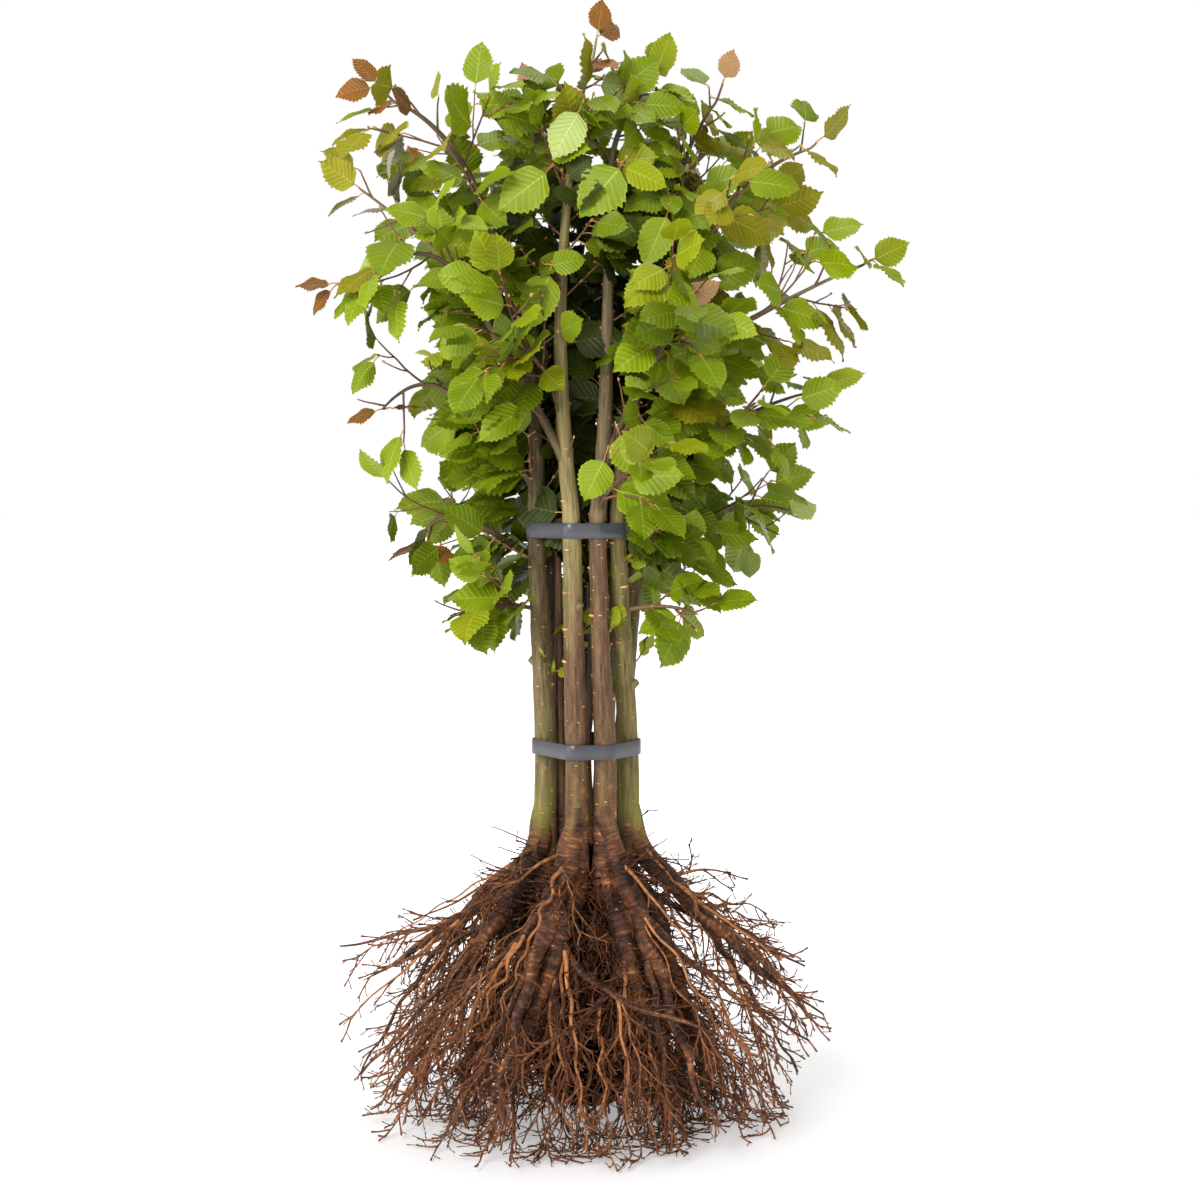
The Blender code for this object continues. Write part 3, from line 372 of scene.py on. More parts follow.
# leaf: the tone of its face; a darker tone, for its darker patches and for the painted shade in its
# vein grooves; the tone of its midrib and of its rim
LEAF_TONES = {
    "spring": ("#8F9810", "#748008", "#B4BA54", "#AEA83A"),
    "olive": ("#8E8C16", "#706A0A", "#AEA64A", "#A28028"),
    "fresh": ("#849410", "#667C06", "#AEB854", "#A6AA38"),
    "middle": ("#7A8C0E", "#5A7004", "#A2AE46", "#9AA032"),
    "deep": ("#6A7C0E", "#4A5C04", "#8C9838", "#868C2E"),
    # shaded: painted shade, a much darker copy of the green for the leaves deep in the middle of the
    # crown
    "shaded": ("#3B460C", "#222A04", "#56601E", "#52561C"),
    # pale and mauve: greyish leaves dealt out here and there, partly the pale tone of leaf
    # undersides, partly a painted sheen of the white sky
    "pale": ("#A0AE60", "#768A3A", "#BAC480", "#B2B466"),
    "mauve": ("#98957C", "#77765A", "#AEAA90", "#A39C7E"),
    "bronze": ("#8C5A24", "#64481A", "#AE8448", "#985A2C"),
    "blush": ("#B8946A", "#96683F", "#96603A", "#C29A70"),
}

# ------------ camera and lights
CAMERA_DISTANCE = 2.10
CAMERA_HEIGHT = 0.70
SENSOR_WIDTH = 36.0           # in mm, as is the focal length
VIEW_WIDTH = 1.291            # what the frame takes in, in the plane of the stems
VIEW_CENTRE = Vector((0.014, 0.0, 0.570))
FLOOR_REACH = 30.0
# light: its place, the place it shines at, its size and its power
LIGHTS = {
    "key": ((-1.3, -2.4, 2.2), (0, 0, 0.62), 1.2, 68),
    "fill": ((-2.4, -1.2, 1.0), (0, 0, 0.6), 1.6, 20),
    "top": ((0.3, 0.4, 3.0), (0, 0, 0.8), 1.6, 30),
}

Strand = namedtuple("Strand", "points radii shade")
Leaf = namedtuple("Leaf", "base turn length variant shade")


# ------------ objects
def add_object(name, data):
    thing = bpy.data.objects.new(name, data)
    bpy.context.scene.collection.objects.link(thing)
    return thing


def give_material(thing, material):
    thing.data.materials.clear()
    thing.data.materials.append(material)


def mesh_object(name, verts, faces, material, grain=None):
    """A smooth object from its points and faces, with the place of each point on its grain."""
    mesh = bpy.data.meshes.new(name)
    mesh.from_pydata(verts, [], faces)
    if grain is not None:
        set_point_values(mesh, "grain", grain, "FLOAT_VECTOR")
    mesh.shade_smooth()
    thing = add_object(name, mesh)
    give_material(thing, material)
    return thing


def ring_faces(count, sides, closed=False):
    """The faces between so many rings of points, and from the last ring to the first if closed."""
    faces = []
    for i in range(count if closed else count - 1):
        low = i * sides
        high = (i + 1) % count * sides
        for j in range(sides):
            k = (j + 1) % sides
            faces.append((low + j, low + k, high + k, high + j))
    return faces


def mesh_from(bm, name):
    """The mesh of a finished bmesh."""
    mesh = bpy.data.meshes.new(name)
    bm.to_mesh(mesh)
    bm.free()
    return mesh


def place(thing, nodes=()):
    """Hand a finished piece to the frame: its body and the solids it stands for."""
    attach(thing, "root")
    if nodes:
        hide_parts(*nodes)


def set_point_values(mesh, name, values, kind="FLOAT"):
    """A named value for each point of a mesh."""
    attribute = mesh.attributes.new(name, kind, "POINT")
    field = "vector" if kind == "FLOAT_VECTOR" else "value"
    attribute.data.foreach_set(field, np.asarray(values).ravel())


# ------------ shader helpers
def srgb(code):
    """The linear colour of an sRGB hex code."""
    parts = [int(code[i:i + 2], 16) / 255 for i in (1, 3, 5)]
    linear = [c / 12.92 if c <= 0.04045 else ((c + 0.055) / 1.055) ** 2.4 for c in parts]
    return (*linear, 1.0)


def add_node(tree, kind, inputs=None, **settings):
    """A node with its settings, and its inputs set to values or linked to sockets."""
    made = tree.nodes.new(kind)
    for name, value in settings.items():
        setattr(made, name, value)
    for key, value in (inputs or {}).items():
        if isinstance(value, bpy.types.NodeSocket):
            tree.links.new(value, made.inputs[key])
        else:
            made.inputs[key].default_value = value
    return made


def set_stops(ramp, stops):
    """Positions and colours of a colour ramp."""
    elements = ramp.color_ramp.elements
    while len(elements) < len(stops):
        elements.new(0.5)
    for element, (position, colour) in zip(elements, stops):
        element.position = position
        element.color = colour


def new_material(name, **fixed):
    """A Principled material, with the values that are the same all over it."""
    material = bpy.data.materials.new(name)
    material.use_nodes = True
    tree = material.node_tree
    shader = tree.nodes["Principled BSDF"]
    for label, value in fixed.items():
        shader.inputs[label.replace("_", " ")].default_value = value
    return material, tree, shader


def paint(tree, shader, socket, label="Base Color"):
    """Link a socket to an input of the shader."""
    tree.links.new(socket, shader.inputs[label])


def mixed(tree, share, first, second):
    """The socket of a colour between two colours."""
    return add_node(tree, "ShaderNodeMix", {0: share, 6: first, 7: second},
                    data_type="RGBA").outputs[2]


# ------------ paths
def around(azimuth, radius, height):
    angle = radians(azimuth)
    return Vector((radius * sin(angle), -radius * cos(angle), height))


def up(height):
    return Vector((0, 0, height))


def any_turn(rng):
    return rng.uniform(0, tau)


def mix(low, high, share):
    return low + (high - low) * share


def read_table(table, position):
    """A value between the rows of a table of positions and values."""
    return float(np.interp(position, *zip(*table)))


def stem_radius(name, height):
    size = STEMS[name][0]
    if height < HEART_TOP:
        return size * read_table(FOOT_PROFILE + STEM_PROFILE[:1], height)
    return size * read_table(STEM_PROFILE, height)


def stem_point(name, height):
    """Centre of a stem at a height: a ring up to the upper band, then a vase."""
    _, low, high, tip, tip_radius, tip_height, lateness, bow = STEMS[name]
    lower = around(low, RING, height)
    upper = around(high, UPPER_RING, height)
    if height <= LOWER_BAND_HEIGHT:
        return lower
    if height <= UPPER_BAND_HEIGHT:
        share = (height - LOWER_BAND_HEIGHT) / (UPPER_BAND_HEIGHT - LOWER_BAND_HEIGHT)
        return lower.lerp(upper, share)
    share = (height - UPPER_BAND_HEIGHT) / (tip_height - UPPER_BAND_HEIGHT)
    point = upper.lerp(around(tip, tip_radius, height), share ** lateness)
    return point + around(high + 90, bow * sin(pi * share), 0.0)


def stem_path(name):
    """Points up a stem: its foot, both bands, a point half way between, and steps to the tip."""
    tip_height = STEMS[name][5]
    heights = [HEART_TOP + GAP, COLLAR_HEIGHT, LOWER_BAND_HEIGHT,
               (LOWER_BAND_HEIGHT + UPPER_BAND_HEIGHT) / 2]
    heights += [mix(UPPER_BAND_HEIGHT, tip_height, i / 5) for i in range(6)]
    return [stem_point(name, height) for height in heights]


def heart_radius(height):
    return read_table(HEART_PROFILE, height)


def foot_path(name):
    """From its thin end on the floor, the root that runs up the heart to the foot of a stem."""
    points = []
    for height, radius in FOOT_PROFILE:
        azimuth = STEMS[name][1] + FOOT_DRIFT[name] * (1 - height / HEART_TOP)
        points.append(around(azimuth, heart_radius(height) - 0.2 * radius, height))
    return points


def bent_path(start, knee, end, steps):
    """Points on a quadratic curve from start to end, drawn towards knee."""
    shares = [i / steps for i in range(steps + 1)]
    return [start * (1 - s) ** 2 + knee * (2 * s * (1 - s)) + end * s ** 2 for s in shares]


def bough_path(name, steps=4):
    stem, height, azimuth, radius, tip_height = BOUGHS[name]
    start = stem_point(stem, height)
    end = around(azimuth, radius, tip_height)
    knee = start.lerp(end, BOUGH_KNEE) + up(BOUGH_LIFT)
    return bent_path(start, knee, end, steps)


def root_path(name):
    stem, height, azimuth, radius, tip_height = MAIN_ROOTS[name]
    start = stem_point(stem, height)
    end = around(azimuth, radius, tip_height)
    knee = around(azimuth, ROOT_KNEE_REACH, mix(height, tip_height, ROOT_KNEE_FALL))
    return bent_path(start, knee, end, 5)


def root_axis(name):
    """The main root of a root mass, on from the tip of the root that carries it."""
    carrier, azimuth, radius, height = ROOT_MASSES[name]
    path = root_path(carrier)
    heading = (path[-1] - path[-2]).normalized()
    start = path[-1] + heading * GAP
    end = around(azimuth, radius, height)
    knee = start + heading * (MASS_KNEE * (end - start).length)
    knee.z = max(knee.z, height + MASS_KNEE_LIFT)
    return [start] + bent_path(start, knee, end, 4)[1:]


def mass_axis(name):
    """The main twig of a mass of foliage, from the tip or the side of its carrier."""
    carrier, height, azimuth, radius, tip_height, _ = FOLIAGE[name]
    end = around(azimuth, radius, tip_height)
    if height is None:
        path = stem_path(carrier) if carrier in STEMS else bough_path(carrier)
        heading = (path[-1] - path[-2]).normalized()
        start = path[-1] - heading * SPRAY_OVERLAP
    else:
        start = stem_point(carrier, height)
        heading = end - start
        heading.z = SPRAY_RISE * heading.length
        heading.normalize()
    length = (end - start).length
    stop = end - (end - start).normalized() * min(0.8 * SOLID_LEAF, SPRAY_STOP * length)
    knee = start + heading * (SPRAY_KNEE * length)
    return bent_path(start, knee, stop, 6)


def smooth_path(points, step):
    """Points on a smooth curve through the given ones, about a step apart."""
    result = []
    last = len(points) - 1
    for i in range(last):
        before = points[max(i - 1, 0)]
        first = points[i]
        second = points[i + 1]
        after = points[min(i + 2, last)]
        count = max(1, round((second - first).length / step))
        for k in range(count):
            t = k / count
            linear = (second - before) * t
            square = (2 * before - 5 * first + 4 * second - after) * t ** 2
            cubic = (3 * first - before - 3 * second + after) * t ** 3
            result.append(0.5 * (2 * first + linear + square + cubic))
    return result + [points[-1]]


def distances(path):
    """Length from the start of a path to each of its points."""
    run = [0.0]
    for a, b in zip(path, path[1:]):
        run.append(run[-1] + (b - a).length)
    return run


def path_length(path):
    return distances(path)[-1]


def along(path, share):
    """The point and direction at a share of the way along a path."""
    spot = share * (len(path) - 1)
    index = min(int(spot), len(path) - 2)
    step = path[index + 1] - path[index]
    return path[index] + step * (spot - index), step.normalized()


def wander(rng, amount):
    return Vector((rng.uniform(-amount, amount) for _ in range(3)))


def side_direction(axis, turn_angle, spread):
    """A direction that leaves the axis at the spread angle, turned round it."""
    axis = axis.normalized()
    across = axis.cross(up(1))
    if across.length < 0.1:
        across = axis.cross(Vector((0, 1, 0)))
    across.normalize()
    upward = across.cross(axis)
    sideways = across * cos(turn_angle) + upward * sin(turn_angle)
    return (axis * cos(spread) + sideways * sin(spread)).normalized()


# ------------ bark with its relief
GRAIN_RADIUS = 0.012          # the radius at which patterns that follow the bark have their scale
RELIEF_RADIUS = 0.007         # the radius down to which the relief keeps its depth
BARK_STEP = 0.0028            # between the rings of points along a limb
THICK_SIDES = 22              # points round a stem or main root, round a bough, and round a fork
BOUGH_SIDES = 16
SLIM_SIDES = 14
STEM_SWAY = 0.0006            # how far a stem waves from side to side
# uneven bark of a stem: depth, length of the lumps, how many round it, and whether it gets less
# towards the tip
STEM_LUMPS = ((0.0008, 0.060, 3, True), (0.00035, 0.022, 7, True), (0.00014, 0.009, 19, False))
THINNING = (0.30, 0.7, 0.75)  # from this height, over so much of it, the relief gets so much less
NODE_SWELLING = (0.0005, 0.006)    # depth and length of the swelling at a node
LEDGE_DEPTH = 0.0017
LEDGE_LENGTHS = (0.005, 0.0018)    # of the ledge under a bud, below it and above it
LEDGE_WIDTH = 0.075           # as a share of the way round
COLLAR_WRINKLES = (0.36, 0.05)     # the rings of the root bark begin here and are full so much lower
RING_PITCH = 0.0075           # between the rings across the bark of a thick root
RING_DEPTH = 0.00042


def soft_noise(rng, lengths, turns, cell, columns):
    """Soft noise over a tube, between -1 and 1, with cells of a length and so many round it."""
    grid = rng.uniform(-1, 1, (int(lengths.max() / cell) + 3, columns))
    row = lengths / cell
    column = turns * columns
    r0 = np.floor(row).astype(int)
    c0 = np.floor(column).astype(int)
    down = row - r0
    side = column - c0
    down = down * down * (3 - 2 * down)
    side = side * side * (3 - 2 * side)
    upper = grid[r0, c0 % columns] * (1 - side) + grid[r0, (c0 + 1) % columns] * side
    lower = grid[r0 + 1, c0 % columns] * (1 - side) + grid[r0 + 1, (c0 + 1) % columns] * side
    return upper * (1 - down) + lower * down


def carried_frames(points):
    """Two cross directions for each point of a path, carried along it without a twist."""
    tangents = np.gradient(points, axis=0)
    tangents /= np.linalg.norm(tangents, axis=1)[:, None]
    side = np.cross(tangents[0], (0.0, 1.0, 0.1))
    sides = []
    for tangent in tangents:
        side = side - tangent * side.dot(tangent)
        side = side / np.linalg.norm(side)
        sides.append(side)
    sides = np.array(sides)
    return sides, np.cross(tangents, sides)


def bark_tube(name, path, radii, sides, relief, material):
    """A closed tube whose surface has relief, with its grain: round the tube and along it."""
    points = np.array([tuple(p) for p in path])
    first, second = carried_frames(points)
    steps = np.linalg.norm(np.diff(points, axis=0), axis=1)
    lengths = np.concatenate([[0.0], np.cumsum(steps)])[:, None]
    turns = (np.arange(sides) / sides)[None, :]
    lengths, turns = np.broadcast_arrays(lengths, turns)
    radii = np.array(radii)[:, None]
    reach = radii + relief(lengths, turns, points) * np.minimum(1.0, radii / RELIEF_RADIUS)
    angle = tau * turns
    ring = (np.cos(angle)[..., None] * first[:, None, :]
            + np.sin(angle)[..., None] * second[:, None, :])
    verts = (points[:, None, :] + reach[..., None] * ring).reshape(-1, 3)
    faces = ring_faces(len(points), sides)
    foot = len(verts)
    faces += [(foot, (j + 1) % sides, j) for j in range(sides)]
    top = foot - sides
    faces += [(foot + 1, top + j, top + (j + 1) % sides) for j in range(sides)]
    grain = np.stack([GRAIN_RADIUS * np.cos(angle), GRAIN_RADIUS * np.sin(angle), lengths],
                     axis=-1).reshape(-1, 3)
    ends = [[0, 0, 0], [0, 0, float(lengths.max())]]
    return mesh_object(name, np.vstack([verts, points[:1], points[-1:]]).tolist(), faces, material,
                       np.vstack([grain, ends]))


def stem_relief(seed, nodes):
    """Young bark: an uneven section, swollen nodes with a ledge under each bud, fine ridges."""
    rng = np.random.default_rng(seed)

    def relief(lengths, turns, points):
        start, span, loss = THINNING
        size = 1.0 - loss * np.clip(points[:, 2:3] - start, 0.0, span) / span
        result = 0.0
        for depth, cell, columns, fades in STEM_LUMPS:
            lumps = soft_noise(rng, lengths, turns, cell, columns)
            result = result + depth * (size if fades else 1.0) * lumps
        swelling, swelling_length = NODE_SWELLING
        below, above = LEDGE_LENGTHS
        for spot, turn_share in nodes:
            rise = lengths - spot
            around_it = np.abs((turns - turn_share + 0.5) % 1.0 - 0.5)
            result += swelling * size * np.exp(-(rise / swelling_length) ** 2)
            ledge = np.exp(-(rise / np.where(rise < 0, below, above)) ** 2)
            result += LEDGE_DEPTH * size * ledge * np.exp(-(around_it / LEDGE_WIDTH) ** 2)
        top, fall = COLLAR_WRINKLES
        wrinkles = np.clip((top - points[:, 2:3]) / fall, 0.0, 1.0)
        return result + wrinkles * ring_wrinkles(rng, lengths, turns)

    return relief


def ring_wrinkles(rng, lengths, turns):
    """The rings across the bark of a thick root, each broken and wavy."""
    wave = lengths + 0.0022 * soft_noise(rng, lengths, turns, 0.012, 5)
    broken = 0.6 + 0.4 * soft_noise(rng, lengths, turns, 0.015, 4)
    rings = np.sin(tau * wave / RING_PITCH) * broken
    return RING_DEPTH * rings + 0.0007 * soft_noise(rng, lengths, turns, 0.020, 4)


def root_relief(seed):
    """Root bark: lumps, and rings across it that fade as the root gets thin."""
    rng = np.random.default_rng(seed)

    def relief(lengths, turns, _):
        fade = 1.0 - 0.75 * lengths / lengths.max()
        lumps = 0.0007 * soft_noise(rng, lengths, turns, 0.032, 3)
        return fade * (lumps + ring_wrinkles(rng, lengths, turns))

    return relief


def node_places(rng, start, stop, spacing):
    """Where the nodes sit along a limb: a length, and a share of the turn round it."""
    places = []
    spot = start
    turn_share = rng.random()
    while spot < stop:
        places.append((spot, turn_share % 1.0))
        spot += spacing * rng.uniform(0.6, 1.4)
        turn_share += 0.5 + rng.uniform(-0.12, 0.12)
    return places


# ------------ node trees for what repeats
def new_tree(name, inputs):
    """A geometry node tree, the sockets of its named inputs, and its output node."""
    tree = bpy.data.node_groups.new(name, "GeometryNodeTree")
    for label, kind in inputs.items():
        tree.interface.new_socket(label, in_out="INPUT", socket_type=kind)
    tree.interface.new_socket("Result", in_out="OUTPUT", socket_type="NodeSocketGeometry")
    return tree, add_node(tree, "NodeGroupInput").outputs, add_node(tree, "NodeGroupOutput")


def finish_tree(tree, leaving, geometry, material):
    """Realize the instances, shade them smooth and set the material."""
    real = add_node(tree, "GeometryNodeRealizeInstances", {"Geometry": geometry})
    smooth = add_node(tree, "GeometryNodeSetShadeSmooth", {"Geometry": real.outputs[0]})
    painted = add_node(tree, "GeometryNodeSetMaterial",
                       {"Geometry": smooth.outputs[0], "Material": material})
    tree.links.new(painted.outputs[0], leaving.inputs["Result"])
    return tree


def named_value(tree, name, kind):
    """A named value that the points carry."""
    return add_node(tree, "GeometryNodeInputNamedAttribute", {"Name": name},
                    data_type=kind).outputs[0]


def strand_tree():
    """Sweeps a round section along each path, as thick as the path says at each point."""
    tree, given, leaving = new_tree("strands", {
        "Paths": "NodeSocketGeometry", "Sides": "NodeSocketInt", "Material": "NodeSocketMaterial"})
    curves = add_node(tree, "GeometryNodeMeshToCurve", {"Mesh": given["Paths"]})
    section = add_node(tree, "GeometryNodeCurvePrimitiveCircle",
                       {"Resolution": given["Sides"], "Radius": 1.0})
    swept = add_node(tree, "GeometryNodeCurveToMesh", {
        "Curve": curves.outputs[0], "Profile Curve": section.outputs["Curve"],
        "Scale": named_value(tree, "thickness", "FLOAT"), "Fill Caps": True})
    return finish_tree(tree, leaving, swept.outputs[0], given["Material"])


def scatter_tree():
    """Sets one of several shapes on each point, turned and sized as the point says."""
    tree, given, leaving = new_tree("scatter", {
        "Points": "NodeSocketGeometry", "Shapes": "NodeSocketCollection",
        "Material": "NodeSocketMaterial"})
    shapes = add_node(tree, "GeometryNodeCollectionInfo", {
        "Collection": given["Shapes"], "Separate Children": True, "Reset Children": True})
    rotation = add_node(tree, "FunctionNodeEulerToRotation",
                        {"Euler": named_value(tree, "turn", "FLOAT_VECTOR")})
    set_down = add_node(tree, "GeometryNodeInstanceOnPoints", {
        "Points": given["Points"], "Instance": shapes.outputs[0],
        "Pick Instance": True, "Instance Index": named_value(tree, "variant", "INT"),
        "Rotation": rotation.outputs[0], "Scale": named_value(tree, "size", "FLOAT")})
    return finish_tree(tree, leaving, set_down.outputs[0], given["Material"])


def spots_tree():
    """Scatters one shape over a surface, flat on it and level across it."""
    tree, given, leaving = new_tree("spots", {
        "Surface": "NodeSocketGeometry", "Shapes": "NodeSocketCollection",
        "Material": "NodeSocketMaterial", "Density": "NodeSocketFloat",
        "Spacing": "NodeSocketFloat", "Least": "NodeSocketVector", "Most": "NodeSocketVector",
        "Seed": "NodeSocketInt"})
    spread = add_node(tree, "GeometryNodeDistributePointsOnFaces", {
        "Mesh": given["Surface"], "Distance Min": given["Spacing"],
        "Density Max": given["Density"], "Seed": given["Seed"]}, distribute_method="POISSON")
    level = add_node(tree, "ShaderNodeVectorMath",
                     {0: spread.outputs["Normal"], 1: (0.0, 0.0, 1.0)}, operation="CROSS_PRODUCT")
    rotation = add_node(tree, "FunctionNodeAlignRotationToVector", {
        "Rotation": spread.outputs["Rotation"], "Vector": level.outputs[0]},
        axis="X", pivot_axis="Z")
    size = add_node(tree, "FunctionNodeRandomValue", {
        "Min": given["Least"], "Max": given["Most"], "Seed": given["Seed"]},
        data_type="FLOAT_VECTOR")
    shapes = add_node(tree, "GeometryNodeCollectionInfo", {"Collection": given["Shapes"]})
    set_down = add_node(tree, "GeometryNodeInstanceOnPoints", {
        "Points": spread.outputs["Points"], "Instance": shapes.outputs[0],
        "Rotation": rotation.outputs[0], "Scale": size.outputs[0]})
    return finish_tree(tree, leaving, set_down.outputs[0], given["Material"])


def grown(name, source, tree, inputs):
    """The plain mesh object that a node tree makes from a source mesh."""
    thing = add_object(name, source)
    modifier = thing.modifiers.new("growth", "NODES")
    modifier.node_group = tree
    identifiers = {item.name: item.identifier for item in tree.interface.items_tree}
    for label, value in inputs.items():
        modifier[identifiers[label]] = value
    bpy.context.view_layer.update()
    evaluated = thing.evaluated_get(bpy.context.evaluated_depsgraph_get())
    mesh = bpy.data.meshes.new_from_object(evaluated)
    mesh.name = name
    thing.modifiers.clear()
    thing.data = mesh
    bpy.data.meshes.remove(source)
    return thing


def strand_object(name, strands, sides, material, tree):
    """All strands as one swept mesh."""
    verts = []
    edges = []
    for strand in strands:
        first = len(verts)
        verts += [tuple(p) for p in strand.points]
        edges += [(i, i + 1) for i in range(first, len(verts) - 1)]
    mesh = bpy.data.meshes.new(name + "_paths")
    mesh.from_pydata(verts, edges, [])
    set_point_values(mesh, "thickness", [r for strand in strands for r in strand.radii])
    set_point_values(mesh, "shade", [strand.shade * (1.0 - TIP_DARKENING * i / len(strand.points))
                                     for strand in strands for i in range(len(strand.points))])
    return grown(name, mesh, tree, {"Sides": sides, "Material": material})


def scattered_object(name, items, shapes, material, tree):
    """All leaves or buds of one kind as one mesh."""
    mesh = bpy.data.meshes.new(name + "_points")
    mesh.from_pydata([tuple(item.base) for item in items], [], [])
    set_point_values(mesh, "turn", [tuple(item.turn) for item in items], "FLOAT_VECTOR")
    set_point_values(mesh, "size", [item.length for item in items])
    set_point_values(mesh, "variant", [item.variant for item in items], "INT")
    set_point_values(mesh, "shade", [item.shade for item in items])
    return grown(name, mesh, tree, {"Shapes": shapes, "Material": material})


# ------------ leaf, bud and spot shapes
def leaf_half_width(share, ratio):
    """Half width of the blade: round at its base and widest before the middle."""
    return 0.5 * ratio * (share ** 0.58 * (1 - share) ** 0.85) / 0.3807


def leaf_shape(name, rng, collection):
    """A toothed blade, pleated between its veins, one unit long along +Y and facing +Z."""
    ratio = LEAF_RATIO * rng.uniform(0.86, 1.10)
    fold = rng.uniform(0.05, 0.30)
    droop = rng.uniform(0.10, 0.65)
    ripple = rng.uniform(0.015, 0.042)
    phase = any_turn(rng)
    twist = rng.uniform(-0.22, 0.22)
    pleat = 0.012
    rows = 2 * VEIN_PAIRS
    bm = bmesh.new()
    uv = bm.loops.layers.uv.new("UVMap")
    grid = []
    for row in range(rows + 1):
        t = row / rows
        line = []
        for column in (-2, -1, 0, 1, 2):
            out = abs(column) / 2
            place_along = mix(t ** 1.60, t ** 0.74, out) * (DRAWN_TIP if row < rows else 1.0)
            half = leaf_half_width(t ** 0.74, ratio)
            if out == 1.0 and 0 < row < rows:
                tooth = rng.uniform(0.01, 0.10) if row % 2 == 0 else rng.uniform(-0.08, -0.03)
                half *= 1.0 + tooth
                place_along += 0.16 * tooth
            across = copysign(out * half, column)
            lift = fold * abs(across) - 0.45 * across ** 2
            crease = pleat * min(1.0, 2.2 * out) * sin(pi * t) ** 0.5
            lift += crease if row % 2 else -crease
            lift += ripple * out ** 2 * sin(12.0 * place_along + phase + column)
            lift += twist * across * place_along
            bend = droop * place_along
            spot = Vector((across, sin(bend) / droop + lift * sin(bend),
                           (cos(bend) - 1.0) / droop + lift * cos(bend)))
            line.append((bm.verts.new(spot), (0.5 + column / 4, t)))
        grid.append(line)
    for low, high in zip(grid, grid[1:]):
        for left, right, up_right, up_left in zip(low, low[1:], high[1:], high):
            corners = [left, right, up_right, up_left]
            face = bm.faces.new([vert for vert, _ in corners])
            for loop, (_, spot) in zip(face.loops, corners):
                loop[uv].uv = spot
    bmesh.ops.remove_doubles(bm, verts=bm.verts, dist=0.0005)
    collection.objects.link(bpy.data.objects.new(name, mesh_from(bm, name)))


def leaf_shapes():
    """The blades that trees set on points, in a collection that is not in the scene."""
    collection = bpy.data.collections.new("leaf_shapes")
    rng = Random(SEED + 5)
    for i in range(LEAF_VARIANTS):
        leaf_shape(f"leaf_shape_{i}", rng, collection)
    return collection


def round_shape(name, size, middle, segments=6, rings=4):
    """A collection with one small rounded body of the given size and middle."""
    collection = bpy.data.collections.new(name)
    bm = bmesh.new()
    bmesh.ops.create_uvsphere(bm, u_segments=segments, v_segments=rings, radius=1.0)
    for vert in bm.verts:
        vert.co = Vector(vert.co[i] * size[i] / 2 + middle[i] for i in range(3))
    collection.objects.link(bpy.data.objects.new(name, mesh_from(bm, name)))
    return collection


def turn_towards(way, facing):
    """The turn that lays +Y along a direction, with +Z as near as it can be to the facing."""
    normal = facing - way * facing.dot(way)
    if normal.length < 0.05:
        normal = way.orthogonal()
    normal.normalize()
    across = way.cross(normal)
    return Matrix((across, way, normal)).transposed().to_euler()


# ------------ the crown
# Tints are dealt out by spray. Sprays named here end in young leaves of another tint, so many.
BRONZE_ENDS = {"foliage_top": 3, "foliage_top_left": 3, "foliage_left_upper": 2,
               "foliage_left_middle": 2, "foliage_left_low": 2, "foliage_right_low": 2,
               "foliage_top_back_left": 3, "foliage_back_right": 2}
BLUSH_ENDS = {"foliage_upper_right": 1, "foliage_top_back": 1}
END_LEAF = 0.046              # length of the leaf at the very end of a spray
YOUNG_LEAF = 0.034            # and of a young one there
OLIVE_SPRAYS = ("foliage_top", "foliage_top_left", "foliage_left_rising", "foliage_top_right",
                "foliage_top_back_left", "foliage_upper_right", "foliage_left_upper")
# Where the last leaves end on the twigs that reach furthest to the front, by spray.
FRONT_TWIGS = {
    "foliage_front_right": ((0.107, -0.237, 0.858), (0.150, -0.214, 0.905),
                            (0.132, -0.200, 0.790), (0.090, -0.212, 0.955)),
    "foliage_front_middle": ((0.080, -0.232, 0.710), (0.118, -0.200, 0.735),
                             (0.098, -0.178, 0.645)),
    "foliage_front_left": ((-0.128, -0.211, 0.766), (-0.152, -0.196, 0.838),
                           (-0.110, -0.210, 0.920)),
}
# The limbs that show from the front, how far leaves keep from them, and how many leaves do so.
SHOWN_LIMBS = ("stem_front", "bough_left_fork", "bough_front_right")
SHOWN_LIMB_CLEARANCE = 0.021
KEPT_OFF = 0.85


class Crown:
    """What has grown in the crown: twigs, petioles, buds, and leaves by tint."""

    def __init__(self):
        self.twigs = []
        self.petioles = []
        self.buds = []
        self.leaves = {tint: [] for tint in LEAF_TONES}
        self.taken = np.zeros((0, 3))
        self.limbs = limb_surface(("stem_", "bough_", "band_"))
        paths = limb_paths()
        self.shown = np.array([tuple(p) for name in SHOWN_LIMBS for p in paths[name]
                               if p.z > UPPER_BAND_HEIGHT])

    def add_twig(self, path, ends, shade):
        """A twig with its radius at its foot and at its tip."""
        self.twigs.append(Strand(path, tapered(len(path), *ends), shade))

    def room_for(self, spots):
        """Whether other leaves leave room for one with these places on it."""
        if not len(self.taken):
            return True
        gaps = np.linalg.norm(self.taken[None, :, :] - spots[:, None, :], axis=2)
        return gaps.min() > LEAF_CLEARANCE

    def hides_limb(self, points):
        """Whether any of the points lies before one of the limbs that show from the front."""
        for p in points:
            near = np.hypot(self.shown[:, 0] - p.x, self.shown[:, 2] - p.z) < SHOWN_LIMB_CLEARANCE
            if np.any(near & (self.shown[:, 1] > p.y)):
                return True
        return False

    def fits(self, points):
        """Whether a twig with these points stays within the crown and off the limbs."""
        return inside_crown(points) and self.off_limbs(points, LIMB_CLEARANCE)

    def off_limbs(self, points, clearance):
        """Whether all points keep clear of the solid stems, boughs and bands."""
        return all(self.limbs.find_nearest(point, clearance)[0] is None for point in points)


